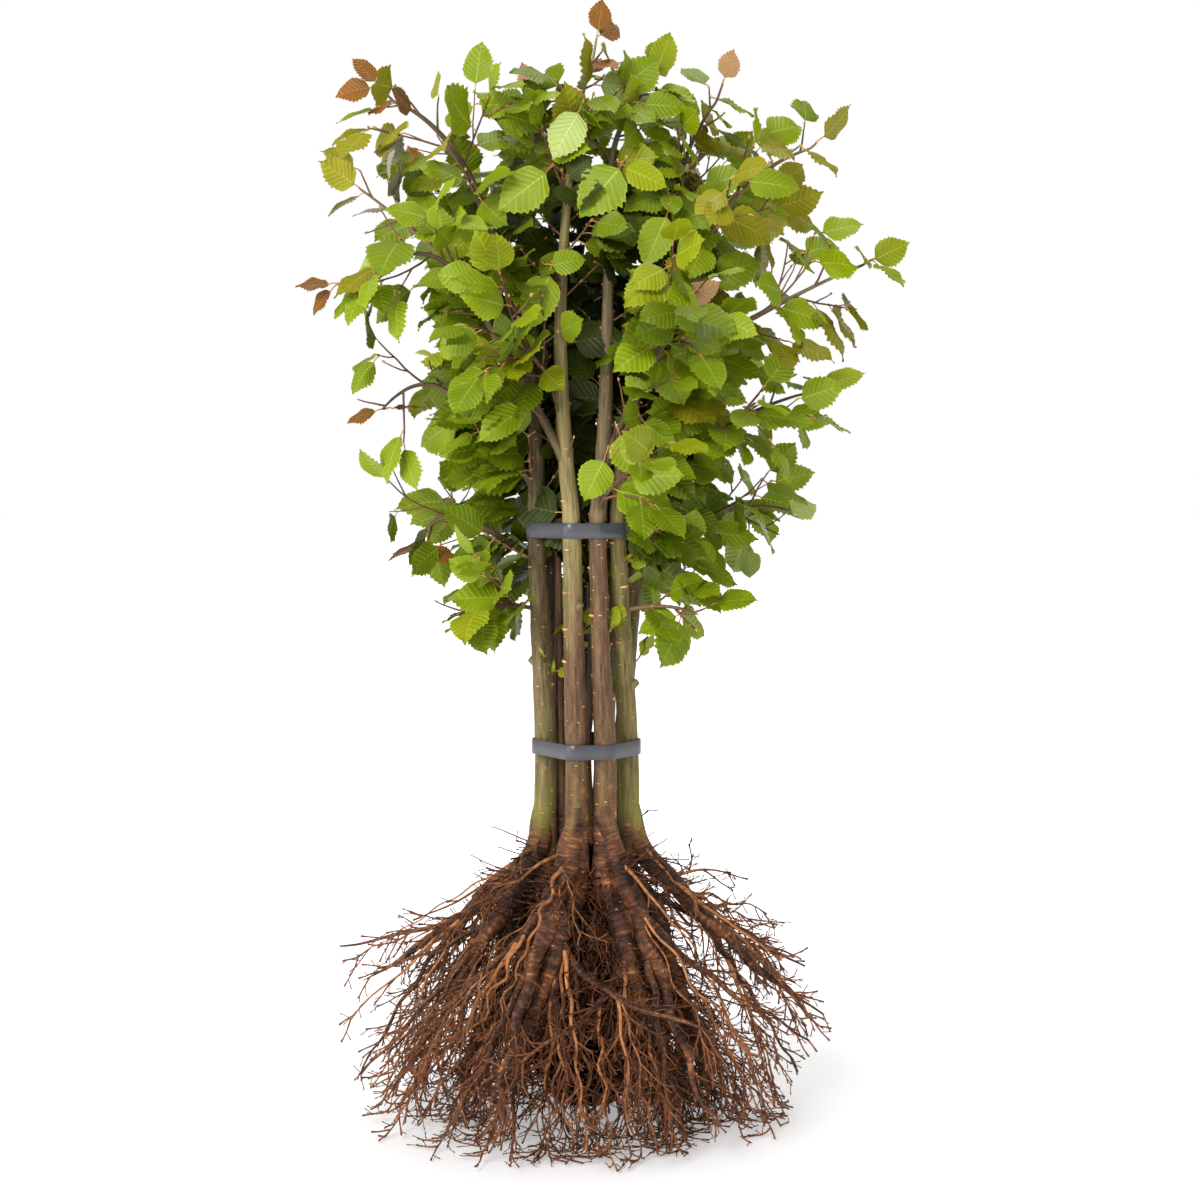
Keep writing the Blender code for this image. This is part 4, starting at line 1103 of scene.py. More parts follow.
def limb_surface(prefixes):
    """One search tree over the surfaces of the frame's nodes whose names start so."""
    verts = []
    faces = []
    for name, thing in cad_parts.items():
        if name.startswith(prefixes):
            offset = len(verts)
            verts += [vert.co.copy() for vert in thing.data.vertices]
            faces += [[offset + i for i in face.vertices] for face in thing.data.polygons]
    return BVHTree.FromPolygons(verts, faces)


def inside_crown(points, slack=1.0):
    """Whether all points lie within the oval outline of the crown at their own height."""
    heights, left, right, depth = zip(*CROWN)
    for p in points:
        if not heights[0] < p.z < heights[-1]:
            return False
        side = float(np.interp(p.z, heights, left if p.x < 0 else right)) * slack
        front = float(np.interp(p.z, heights, depth)) * slack
        if abs(p.x / side) ** 3 + abs(p.y / front) ** 3 > 1.0:
            return False
    return True


def before_stems(p):
    """How much a place hides the stems and straps from the front: 0 not at all, 1 fully."""
    if p.y > WINDOW_Y or abs(p.x) > WINDOW[0]:
        return 0.0
    if p.z < WINDOW[1]:
        return 1.0
    within = abs(p.x) < UPPER_WINDOW[0] and p.z < UPPER_WINDOW[1]
    return UPPER_CLEAR[0] if within else UPPER_CLEAR[1]


def spray_tint(rng, base, olive=False):
    """Lighter tints outside and high up, deeper ones inside."""
    spread = hypot(base.x, base.y) / 0.28 + 0.9 * max(0.0, base.z - 0.8)
    # pale and mauve leaves are partly a painted sky sheen
    weights = {"spring": 0.10 + 0.60 * spread, "olive": 2.6 if olive else 0.40, "fresh": 1.8,
               "middle": 1.7, "deep": 1.6 - 1.6 * spread, "pale": 0.16, "mauve": 0.12}
    return rng.choices(list(weights), [max(0.1, w) for w in weights.values()])[0]


def leaf_spots(foot, step):
    """Places along a leaf, where step leads from its foot to its tip."""
    return np.array([tuple(foot + step * share) for share in LEAF_SPOTS])


def put_leaf(crown, rng, base, way, tint, length):
    """A leaf on its petiole, where there is room for it."""
    outward = Vector((base.x, base.y, 0.0))
    outward = outward.normalized() if outward.length > 0.02 else Vector((0, -1, 0))
    sideways, outwards, upwards = LEAF_FACING
    towards = Vector((0, sideways if base.y > 0.03 else -sideways, 0))
    facing = up(upwards) + outward * outwards + towards + wander(rng, 0.45)
    stalk = PETIOLE * rng.uniform(0.8, 1.35)
    foot = base + way * stalk
    foot.z -= 0.10 * stalk
    tip = foot + way * length
    middle = foot.lerp(tip, 0.5)
    if not inside_crown([tip, middle], 1.02):
        return False
    if not crown.off_limbs([foot.lerp(tip, 0.25), middle, tip], 0.005):
        return False
    if not crown.room_for(leaf_spots(foot, way * length)):
        return False
    if crown.hides_limb([foot, middle, tip]) and rng.random() < KEPT_OFF:
        return False
    add_leaf(crown, rng, base, foot, way, facing.normalized(), tint, length)
    return True


def add_leaf(crown, rng, base, foot, way, facing, tint, length):
    """A leaf and the petiole that runs to its foot from its base on the twig."""
    crown.taken = np.vstack([crown.taken, leaf_spots(foot, way * length)])
    bend = base.lerp(foot, 0.5) + up(0.0012)
    crown.petioles.append(Strand([base, bend, foot + way * (0.05 * length)],
                                 [0.00085, 0.0007, 0.0006], rng.random()))
    crown.leaves[tint].append(Leaf(foot, turn_towards(way, facing), length,
                                   rng.randrange(LEAF_VARIANTS), rng.random()))


def leafy_twig(crown, rng, path, spacing, tint, end_tint=None, ends=0, scale=1.0, most=1.0):
    """Leaves in turn on both sides of a twig and one at its tip, each with a bud below it."""
    length = path_length(path)
    places = max(1, round(length / spacing))
    shares = [1.0] + [mix(0.96, 0.14, (i + 0.5) / places) for i in range(places)]
    for i, share in enumerate(shares):
        base, heading = along(path, share)
        across = heading.cross(up(1))
        across = across.normalized() if across.length > 0.05 else Vector((1, 0, 0))
        chosen = end_tint if i < ends else tint
        young = 0.64 if i < ends else (0.85 if i < 2 else 1.0)
        edge = hypot(base.x / 0.30, base.y / 0.26)
        bare = OPEN_SHARE if base.x > OPEN_SIDE or base.z > OPEN_TOP else BARE_SHARE
        bare = min(most, BARE_TIPS if i == 0 else bare)
        if rng.random() < max(before_stems(base + heading * 0.03), bare * (edge > 0.45)):
            if i == 0:
                add_bud(crown, rng, base, heading, 1.2)
            continue
        for attempt in range(6):
            side = 1 if (i + attempt) % 2 else -1
            spread = 0.22 if i == 0 else rng.uniform(0.60, 1.05)
            way = heading * cos(spread) + across * (side * sin(spread))
            way.z -= rng.uniform(*LEAF_DROOP)
            way = (way + wander(rng, 0.22)).normalized()
            size = rng.uniform(*LEAF_LENGTHS) * young * scale * (1 - 0.05 * attempt)
            if put_leaf(crown, rng, base, way, chosen, size):
                break
        if rng.random() < 0.75:
            add_bud(crown, rng, base, (heading + across * (0.55 if i % 2 else -0.55)), 1.0)


def add_bud(crown, rng, base, way, size):
    """A bud that points along way, so many times as large as most."""
    way = way.normalized()
    crown.buds.append(Leaf(base - way * 0.0006, turn_towards(way, up(1)),
                           size * rng.uniform(0.8, 1.25), 0, rng.random()))


def twig_path(rng, base, way, size, joints):
    """A twig that bends a little at each of its joints and turns up towards its tip."""
    points = [base]
    heading = way
    for _ in range(joints):
        heading = heading + wander(rng, TWIG_WANDER) + up(TWIG_UPTURN)
        heading.normalize()
        points.append(points[-1] + heading * (size / joints))
    return points


def tapered(count, first, last):
    """So many values, evenly from the first to the last."""
    return [mix(first, last, i / (count - 1)) for i in range(count)]


def spray_axis(name):
    """The main twig of a spray, on to the foot of the leaf at its very end."""
    axis = smooth_path(mass_axis(name), 0.012)
    furthest = around(*FOLIAGE[name][2:5])
    leaf = YOUNG_LEAF if name in BRONZE_ENDS or name in BLUSH_ENDS else END_LEAF
    way = (furthest - axis[-1]).normalized()
    return axis + [furthest - way * (leaf + 1.4 * PETIOLE)], way, leaf


def grow_spray(crown, name, order):
    """One mass of foliage: a main twig, side twigs all round it, finer twigs, and leaves."""
    rng = Random(SEED * 1000 + order)
    reach = FOLIAGE[name][5]
    axis, way, size = spray_axis(name)
    end_tint = "bronze" if name in BRONZE_ENDS else "blush"
    ends = BRONZE_ENDS.get(name, BLUSH_ENDS.get(name, 0))
    olive = name in OLIVE_SPRAYS
    tip_tint = "olive" if olive else rng.choice(("spring", "fresh"))
    put_leaf(crown, rng, axis[-1], way, end_tint if ends else tip_tint, size)
    if FOLIAGE[name][1] is not None:
        drawn = DRAWN_BACK if before_stems(axis[-1]) > 0.5 else 1.0
        crown.add_twig(axis[:round(drawn * len(axis))], MAIN_TWIG, rng.random())
    leafy_twig(crown, rng, axis, MAIN_LEAF_SPACING, tip_tint, end_tint, ends)
    count = max(4, round(path_length(axis) / TWIG_SPACING))
    for i in range(count):
        share = TWIGS_FROM[1] * ((i + 0.5) / count) ** 1.25 + TWIGS_FROM[0]
        base, heading = along(axis, share)
        for attempt in range(7):
            turned = i * GOLDEN_ANGLE + rng.uniform(-0.5, 0.5) + attempt * 0.8
            way = side_direction(heading, turned, radians(rng.uniform(*SIDE_SPREAD)))
            size = reach * mix(*SIDE_REACH, share) * rng.uniform(0.75, 1.15) * (1 - 0.06 * attempt)
            path = twig_path(rng, base, way, size, 5)
            if crown.fits(path[2:]):
                if rng.random() < before_stems(path[3]):
                    break
                crown.add_twig(path, SIDE_TWIG, rng.random())
                tint = spray_tint(rng, path[3], olive)
                leafy_twig(crown, rng, path, LEAF_SPACING, tint)
                if share < FORKED_TO:
                    finer_twigs(crown, rng, path, size, tint)
                break
    for furthest in FRONT_TWIGS.get(name, ()):
        grow_front_twig(crown, rng, axis, Vector(furthest), spray_tint(rng, axis[-1]))


def grow_front_twig(crown, rng, axis, furthest, tint):
    """A side twig that carries its last leaf right out to the front of the crown."""
    base, heading = along(axis, 0.30)
    way = ((furthest - base).normalized() + up(-0.35)).normalized()
    foot = furthest - way * (END_LEAF + PETIOLE)
    knee = base.lerp(foot, 0.5) + heading * 0.010 + up(0.008)
    path = bent_path(base, knee, foot, 6)
    crown.add_twig(path, SIDE_TWIG, rng.random())
    facing = Vector((0, -0.5, 0.8))
    add_leaf(crown, rng, foot, foot + way * PETIOLE, way, facing, tint, END_LEAF)
    leafy_twig(crown, rng, path[:-1], LEAF_SPACING * 0.8, tint, most=FRONT_SHARE)


def finer_twigs(crown, rng, parent, size, tint):
    """One or two short twigs from a side twig, carried on with leaves of their own."""
    for share in (0.35, 0.66)[:1 if size < 0.050 else 2]:
        base, heading = along(parent, share)
        way = side_direction(heading, any_turn(rng), rng.uniform(0.6, 0.95))
        path = twig_path(rng, base, way, size * rng.uniform(0.38, 0.55), 3)
        if crown.fits(path[1:]):
            crown.add_twig(path, FINER_TWIG, rng.random())
            leafy_twig(crown, rng, path, LEAF_SPACING, tint, scale=0.90)


def limb_paths():
    """The middles of the stems and boughs."""
    paths = {name: smooth_path(stem_path(name), 0.012) for name in STEMS}
    paths.update({name: smooth_path(bough_path(name), 0.012) for name in BOUGHS})
    return paths


def grow_front_leaves(crown, paths):
    """The large leaves that stand out before the stems, each on its own spur."""
    rng = Random(SEED + 11)
    middles = [p for path in paths.values() for p in path]
    for foot_place, tip_place, tint in FRONT_LEAVES:
        foot = Vector((foot_place[0], -FRONT_DEPTH, foot_place[1]))
        tip = Vector((tip_place[0], -FRONT_DEPTH - 0.006, tip_place[1]))
        below = [p for p in middles if p.z < foot.z - 0.006]
        start = min(below, key=lambda p: (p - foot).length)
        way = (tip - foot).normalized()
        base = foot - way * 0.009 + Vector((0, 0.003, 0.004))
        bend = start.lerp(base, 0.55) + up(-0.004)
        crown.add_twig(smooth_path([start, bend, base], 0.008), SIDE_TWIG, rng.random())
        facing = (Vector((0, -1.0, 0.42)) + wander(rng, 0.16)).normalized()
        add_leaf(crown, rng, base, foot, way, facing, tint, (tip - foot).length)
        kept_clear = [tuple(foot.lerp(tip, share)) for share in (0.1, 0.5, 0.9)]
        crown.shown = np.vstack([crown.shown, kept_clear])
        add_bud(crown, rng, base, (base - bend), 1.0)


def grow_spurs(crown, paths):
    """Short leafy twigs straight from the stems and boughs, which fill the middle."""
    rng = Random(SEED + 12)
    for path in paths.values():
        run = distances(path)
        distance = 0.012
        turned = rng.uniform(0, 6.3)
        while distance < run[-1]:
            base, heading = along(path, distance / run[-1])
            distance += SPUR_SPACING * rng.uniform(0.7, 1.3)
            turned += GOLDEN_ANGLE
            if not SPUR_BAND[0] < base.z < SPUR_BAND[1]:
                continue
            way = side_direction(heading, turned, rng.uniform(0.75, 1.20))
            twig = twig_path(rng, base, way, rng.uniform(*SPUR_LENGTHS), 4)
            if rng.random() < before_stems(twig[-1]) or not inside_crown(twig[2:]):
                continue
            if crown.off_limbs(twig[2:], LIMB_CLEARANCE):
                crown.add_twig(twig, SPUR_TWIG, rng.random())
                reach = hypot(twig[-1].x, twig[-1].y)
                # painted shade: the darkest tint for the leaves nearest the middle
                tint = "shaded" if reach < SHADED_REACH else rng.choice(("deep", "deep", "middle"))
                if reach > INNER_REACH:
                    tint = spray_tint(rng, base)
                leafy_twig(crown, rng, twig, 0.016, tint)


def grow_shoots(crown, paths):
    """Small new shoots low on the stems, each of two or three tiny leaves."""
    rng = Random(SEED + 13)
    names = list(STEMS)
    for i in range(SHOOTS):
        path = paths[names[(3 * i) % len(names)]]
        height = mix(*SHOOT_BAND, rng.random())
        base = min(path, key=lambda p: abs(p.z - height))
        turned = any_turn(rng)
        way = Vector((cos(turned), sin(turned), 0.9)).normalized()
        twig = twig_path(rng, base, way, rng.uniform(*SHOOT_LENGTHS), 3)
        if not crown.off_limbs([twig[-1]], 0.002):
            continue
        crown.add_twig(twig, FINER_TWIG, 1.0)
        for j in range(rng.choice((2, 3))):
            leaf_way = (way + wander(rng, 0.8)).normalized()
            facing = (Vector((0, -0.6, 0.6)) + wander(rng, 0.6)).normalized()
            foot = twig[-1 - j % 2] + leaf_way * 0.003
            add_leaf(crown, rng, twig[-1 - j % 2], foot, leaf_way, facing, "spring",
                     rng.uniform(*SHOOT_LEAVES))


# ------------ the roots
def oval_spread(p):
    """How far out a place lies in the oval reach of the roots: 1 at its edge."""
    return hypot(p.x / ROOT_REACH_X, p.y / ROOT_REACH_Y)


def dome_ceiling(spread):
    return read_table(ROOT_CEILING, spread)


def widest_spread(height, side):
    """How far out the roots go at a height: less near the floor, most of all where side is right.

    Right is any side above 0, be it an x or the sine of an azimuth.
    """
    foot = 0.80 if side > 0 else 0.88
    return mix(foot, 0.995, min(1.0, height / 0.11))


def inside_root_dome(p):
    """The spread of the roots: an oval near the floor that closes towards the stems."""
    spread = oval_spread(p)
    return spread < widest_spread(p.z, p.x) and 0.0 < p.z < dome_ceiling(spread)


def oval_point(azimuth, spread, height):
    angle = radians(azimuth)
    return Vector((ROOT_REACH_X * spread * sin(angle),
                   -ROOT_REACH_Y * spread * cos(angle), height))


def wavy(rng, path, size):
    """A path with slow waves across it that grow from nothing at its start."""
    gap = path[-1] - path[0]
    across = gap.cross(up(1)).normalized()
    upward = across.cross(gap).normalized()
    turns = gap.length / rng.uniform(0.032, 0.075)
    first, second = rng.uniform(0, 6.3), rng.uniform(0, 6.3)
    result = []
    for i, p in enumerate(path):
        share = i / (len(path) - 1)
        rise = min(1.0, 3.0 * share) * size
        angle = tau * turns * share
        p = p + across * (rise * sin(angle + first))
        p += upward * (0.8 * rise * sin(0.8 * angle + second))
        p.z = min(max(p.z, LOWEST_ROOT), dome_ceiling(min(1.0, oval_spread(p))))
        result.append(p)
    return result


def thick_root_path(name):
    """A main root and the axis of its mass. It leaves inside the stem and bends away from it."""
    stem, height, _, _, _ = MAIN_ROOTS[name]
    outer = root_path(name)
    mass = next(m for m, row in ROOT_MASSES.items() if row[0] == name)
    bend = stem_point(stem, height + 0.020)
    start = [stem_point(stem, height + 0.060), bend + Vector((bend.x, bend.y, 0.0)) * 0.05]
    eased = []
    for point, ease, drop in zip(outer[1:], ROOT_EASE, ROOT_DROP):
        eased.append(Vector((point.x * ease, point.y * ease, point.z - drop)))
    return start + eased + root_axis(mass)[2:]


def fork_path(carrier, share, azimuth, spread, height):
    """A root that forks off along its carrier and runs out to its own tip."""
    start, heading = along(carrier, share)
    edge = widest_spread(height, sin(radians(azimuth)))
    target = oval_point(azimuth, spread * edge, height)
    size = (target - start).length
    knee = start + heading * (0.34 * size)
    return bent_path(start, knee, target, round(size / 0.012))


def thick_roots():
    """Path and radii of each thick root: the main ones, the feet of the stems and the forks."""
    roots = {}
    for order, name in enumerate(MAIN_ROOTS):
        rng = Random(SEED * 90 + order)
        path = wavy(rng, smooth_path(thick_root_path(name), 0.012), ROOT_WAVE)
        path = [p for p in smooth_path(path, BARK_STEP)
                if oval_spread(p) < widest_spread(p.z, p.x) - EDGE_MARGIN]
        size = STEMS[MAIN_ROOTS[name][0]][0]
        run = distances(path)
        end, least = ROOT_END
        radii = [size * read_table(THICK_ROOT_PROFILE, d) * min(1.0, (run[-1] - d) / end + least)
                 for d in run]
        roots[name] = path, radii
    for name in STEMS:
        path = smooth_path(foot_path(name)[::-1], 0.004)
        roots[name] = path, [stem_radius(name, p.z) for p in path]
    for order, (parent, share, azimuth, spread, height, first) in enumerate(FORKS):
        rng = Random(SEED * 95 + order)
        path = wavy(rng, fork_path(roots[parent][0], share, azimuth, spread, height), FORK_WAVE)
        path = smooth_path(path, 0.0030)
        run = distances(path)
        radii = [mix(first, 0.0010, (d / run[-1]) ** 0.7) for d in run]
        roots[f"fork_{order}"] = path, radii
    return roots


def dome_target(rng, index):
    """A place for the tip of a long root: on the upper slope, round the side or near the floor."""
    azimuth = degrees(index * GOLDEN_ANGLE)
    zone = rng.random()
    if zone < ROOT_ZONES[0]:
        spread = rng.uniform(*SLOPE_SPREAD)
        return oval_point(azimuth, spread, dome_ceiling(spread) * rng.uniform(*SLOPE_DEPTH))
    spreads, heights = SIDE_PLACES if zone < ROOT_ZONES[1] else FLOOR_PLACES
    height = rng.uniform(*heights)
    edge = widest_spread(height, sin(radians(azimuth)))
    return oval_point(azimuth, edge * rng.uniform(*spreads), height)


class ShownRoots:
    """The upper runs of the thick roots, which finer roots pass behind."""

    def __init__(self, thick):
        rows = []
        for path, radii in thick.values():
            for p, radius in zip(path, radii):
                if p.z > SHOWN_ROOTS and radius > 0.0032:
                    rows.append((p.z, atan2(p.x, -p.y), hypot(p.x, p.y), radius))
        self.height, self.turn, self.reach, self.radius = np.array(rows).T

    def hidden_by(self, p):
        """Whether a point lies further out than a thick root that it crosses."""
        reach = hypot(p.x, p.y)
        across = self.turn - atan2(p.x, -p.y)
        across = np.abs((across + pi) % (tau) - pi) * self.reach
        crossed = (np.abs(self.height - p.z) < 0.004) & (across < self.radius + 0.001)
        return bool(np.any(crossed & (reach > self.reach)))


def best_start(rng, points, headings, target):
    """The place on a thick root that lies best on a straight line from the collar to a target."""
    apex = np.array((0.0, 0.0, ROOT_APEX))
    ray = np.array(target) - apex
    reach = np.linalg.norm(ray)
    ray /= reach
    run = (points - apex) @ ray
    off = np.linalg.norm(points - apex - run[:, None] * ray[None, :], axis=1)
    wanted = rng.uniform(0.34, 0.66) * reach
    score = off / 0.030 + np.abs(run - wanted) / 0.045 + 1.5 * (1 - headings @ ray)
    order = np.argsort(score)
    return int(order[rng.randrange(3)])


def long_root(rng, start, heading, target):
    """It leaves along its parent and runs out nearly straight, bowed a little up or down."""
    size = (target - start).length
    lift = rng.uniform(-0.04, 0.055) * size
    knee = start.lerp(target, 0.42) + heading * (0.06 * size) + up(lift)
    path = bent_path(start, knee, target, max(5, round(size / ROOT_ORDERS[0].step)))
    return wavy(rng, path, rng.uniform(*LONG_ROOT_WAVES))


def curled_root(rng, base, way, length, order):
    """A fine root that curls and falls; near the floor it flattens out along it."""
    kind = ROOT_ORDERS[order]
    points = [base]
    for _ in range(max(2, round(length / kind.step))):
        spot = points[-1]
        way = way + wander(rng, kind.curl)
        way.z -= kind.fall
        if spot.z < 0.020 and way.z < 0:
            way.z *= 0.35
        way.normalize()
        following = spot + way * kind.step
        following.z = max(following.z, LOWEST_ROOT)
        if not inside_root_dome(following):
            break
        points.append(following)
    return points


def add_root(strands, rng, path, order, shown, size=1.0):
    """One root with a small knob at its tip, and the finer roots that leave it."""
    if len(path) < 3:
        return
    kind = ROOT_ORDERS[order]
    radii = tapered(len(path), size * kind.radius[0], kind.radius[1])
    radii[-1] = kind.radius[1] * ROOT_KNOB[0][1]
    # painted shade: strands lying further in within the root mass get a darker shade and outer ones a
    # lighter one, with a random share on top
    painted_outer_light = min(1.0, max(0.0, (oval_spread(path[len(path) // 2]) - 0.30) / 0.55))
    if order < 2:
        heading = (path[-1] - path[-2]).normalized()
        path = path + [path[-1] + heading * beyond for beyond, _ in ROOT_KNOB[1:]]
        radii += [kind.radius[1] * thicker for _, thicker in ROOT_KNOB[1:]]
    strands[order].append(Strand(path, radii, 0.48 * painted_outer_light + 0.52 * rng.random()))
    if order + 1 < len(ROOT_ORDERS):
        sprout_roots(strands, rng, path, order + 1, shown)


def sprout_roots(strands, rng, parent, order, shown, start=0.06):
    """Finer roots all along a parent, a little shorter towards its tip."""
    kind = ROOT_ORDERS[order]
    length = path_length(parent)
    distance = start * length + rng.uniform(0.2, 1.0) * kind.spacing
    while distance < length:
        share = distance / length
        base, heading = along(parent, share)
        way = side_direction(heading, any_turn(rng), rng.uniform(*kind.spread))
        size = rng.uniform(*kind.length) * mix(1.0, 0.60, share)
        path = curled_root(rng, base, way, size, order)
        if order > 1 or not shown.hidden_by(path[-1]) or rng.random() > SHOWN_SHARE:
            add_root(strands, rng, path, order, shown)
        distance += kind.spacing * rng.uniform(0.55, 1.45)


def grow_fine_roots(thick):
    """Long roots out to the edge of the reach, finer ones on them, and a curled mat inside."""
    strands = ([], [], [])
    carriers = [item for path, _ in thick.values() for item in
                [along(path, i / 40) for i in range(4, 38)]]
    points = np.array([tuple(p) for p, _ in carriers])
    headings = np.array([tuple(h) for _, h in carriers])
    rng = Random(SEED * 2000)
    shown = ShownRoots(thick)
    for i in range(LONG_ROOTS):
        for _ in range(5):
            target = dome_target(rng, i)
            start, heading = carriers[best_start(rng, points, headings, target)]
            path = long_root(rng, start, heading, target)
            if not any(shown.hidden_by(p) for p in path[2:]) or rng.random() > SHOWN_SHARE:
                add_root(strands, rng, path, 0, shown, rng.uniform(0.5, 1.5))
                break
    for path, _ in thick.values():
        sprout_roots(strands, rng, path, 1, shown, start=0.20)
    for i in range(CURLED_ROOTS + FRONT_CURLS):
        azimuth = degrees(i * GOLDEN_ANGLE)
        height = mix(*CURL_HEIGHTS, rng.random())
        if i >= CURLED_ROOTS:
            azimuth = rng.uniform(*FRONT_CURL_AZIMUTHS)
            height = mix(*FRONT_CURL_HEIGHTS, rng.random())
        base = around(azimuth, rng.uniform(*CURL_DEPTH) * heart_radius(height), height)
        way = (around(azimuth, 0.5, -0.4) + wander(rng, 1.0)).normalized()
        path = curled_root(rng, base, way, rng.uniform(*CURL_LENGTHS), 1)
        if i % 3:
            strands[1].append(Strand(path, tapered(len(path), 0.0010, 0.0005), 0.7 * rng.random()))
        else:
            add_root(strands, rng, path, 1, shown)
    return strands


# ------------ straps
STRAP_STEP = 0.0025           # between the points along a strap


def convex_outline(points):
    """Corners of the smallest convex outline round flat points, anticlockwise."""
    points = sorted(points)

    def half(sequence):
        chain = []
        for p in sequence:
            while len(chain) > 1 and turn_of(chain[-2], chain[-1], p) <= 0:
                chain.pop()
            chain.append(p)
        return chain[:-1]

    return half(points) + half(points[::-1])


def turn_of(a, b, c):
    return (b[0] - a[0]) * (c[1] - a[1]) - (b[1] - a[1]) * (c[0] - a[0])


def strap_outline(height):
    """The outline that a strap pulls tight round the stems, as evenly spaced points."""
    directions = 96
    corners = []
    for name in STEMS:
        reach = stem_radius(name, height - BAND_WIDTH / 2) + BAND_CLEARANCE
        for level in (height - BAND_WIDTH / 2, height + BAND_WIDTH / 2):
            centre = stem_point(name, level)
            for i in range(directions):
                angle = tau * i / directions
                corners.append((centre.x + reach * cos(angle),
                                centre.y + reach * sin(angle)))
    outline = convex_outline(corners)
    closed = np.array(outline + outline[:1])
    lengths = np.concatenate([[0.0], np.cumsum(np.linalg.norm(np.diff(closed, axis=0), axis=1))])
    count = round(lengths[-1] / STRAP_STEP)
    spots = np.linspace(0.0, lengths[-1], count, endpoint=False)
    return np.stack([np.interp(spots, lengths, closed[:, k]) for k in (0, 1)], axis=1), lengths[-1]


def build_strap(name, height, material):
    """A flat closed strap with rounded edges, tight round the stems."""
    outline, length = strap_outline(height)
    following = np.roll(outline, -1, axis=0) - np.roll(outline, 1, axis=0)
    following /= np.linalg.norm(following, axis=1)[:, None]
    outward = np.stack([following[:, 1], -following[:, 0]], axis=1)
    edge = BAND_EDGE
    half = BAND_WIDTH / 2
    section = [(0.0, -half + edge), (edge, -half), (BAND_THICKNESS - edge, -half),
               (BAND_THICKNESS, -half + edge), (BAND_THICKNESS + BAND_CROWN, 0.0),
               (BAND_THICKNESS, half - edge), (BAND_THICKNESS - edge, half), (edge, half),
               (0.0, half - edge)]
    count = len(outline)
    verts = []
    grain = []
    for i, (spot, out) in enumerate(zip(outline, outward)):
        for depth, rise in section:
            verts.append((spot[0] + out[0] * depth, spot[1] + out[1] * depth, height + rise))
            grain.append((length * i / count, rise, depth))
    # the section runs round the other way, so each face is turned over
    faces = [face[:1] + face[:0:-1] for face in ring_faces(count, len(section), closed=True)]
    return mesh_object(name, verts, faces, material, grain)


# ------------ materials
BARK_SHEEN = 0.28             # specular level of bark


def value_of(tree, name, output="Fac"):
    """A named value that the mesh carries."""
    return add_node(tree, "ShaderNodeAttribute", attribute_name=name).outputs[output]


def place_in_space(tree):
    return add_node(tree, "ShaderNodeTexCoord").outputs["Object"]


def reckon(tree, operation, *values):
    """The socket of a sum on sockets and numbers."""
    return add_node(tree, "ShaderNodeMath", dict(enumerate(values)), operation=operation).outputs[0]


def remap(tree, value, start, stop, low=0.0, high=1.0):
    """Low up to the start, high from the stop on, and evenly from one to the other between."""
    return add_node(tree, "ShaderNodeMapRange", {"Value": value, "From Min": start, "From Max": stop,
                                                 "To Min": low, "To Max": high}).outputs[0]


def noise(tree, vector, scale, detail, roughness=0.5):
    """Noise with so many cells to a metre, the same all ways or its own along each axis."""
    if isinstance(scale, tuple):
        vector = add_node(tree, "ShaderNodeMapping", {"Vector": vector, "Scale": scale}).outputs[0]
        scale = 1.0
    return add_node(tree, "ShaderNodeTexNoise", {"Vector": vector, "Scale": scale, "Detail": detail,
                                                 "Roughness": roughness}).outputs[0]


def ramp_of(tree, value, stops):
    ramp = add_node(tree, "ShaderNodeValToRGB", {"Fac": value})
    set_stops(ramp, [(position, srgb(code)) for position, code in stops])
    return ramp.outputs[0]


def emboss(tree, shader, height, strength, distance):
    """Fine relief in the shading, so deep in metres."""
    relief = add_node(tree, "ShaderNodeBump", {"Height": height, "Strength": strength,
                                               "Distance": distance})
    paint(tree, shader, relief.outputs[0], "Normal")


def leaf_material(name, face, deep, rib, edge):
    """A hornbeam leaf: pleated between sunken side veins, darkened with painted shade, with a pale
    midrib and rim.

    Its thin wax gives a soft gloss.
    """
    material, tree, shader = new_material(name, Roughness=0.42, IOR=1.45, Specular_IOR_Level=0.24)
    uv = add_node(tree, "ShaderNodeUVMap", uv_map="UVMap")
    split = add_node(tree, "ShaderNodeSeparateXYZ", {0: uv.outputs[0]})
    beats = reckon(tree, "MULTIPLY", split.outputs["Y"], float(VEIN_PAIRS))
    from_vein = reckon(tree, "PINGPONG", beats, 0.5)
    # painted shade: along the sunken side veins the blade is mixed towards the darker tone, as shade
    # in the grooves
    groove_shade = remap(tree, from_vein, 0.02, 0.15, 0.62, 0.0)
    off_rib = reckon(tree, "ABSOLUTE", reckon(tree, "SUBTRACT", split.outputs["X"], 0.5))
    midrib = remap(tree, off_rib, 0.005, 0.022, 0.70, 0.0)
    rim = remap(tree, off_rib, 0.42, 0.5, 0.0, 0.40)
    # the blade's tone drifts over about 15 mm
    mottle = noise(tree, place_in_space(tree), 70.0, 3.0)
    depth = reckon(tree, "MULTIPLY_ADD", mottle, value_of(tree, "shade"), 0.10)
    blade = mixed(tree, depth, srgb(face), srgb(deep))
    sunken = mixed(tree, groove_shade, blade, srgb(deep))
    rimmed = mixed(tree, rim, sunken, srgb(edge))
    paint(tree, shader, mixed(tree, midrib, rimmed, srgb(rib)))
    emboss(tree, shader, from_vein, 0.55, 0.0014)
    return material


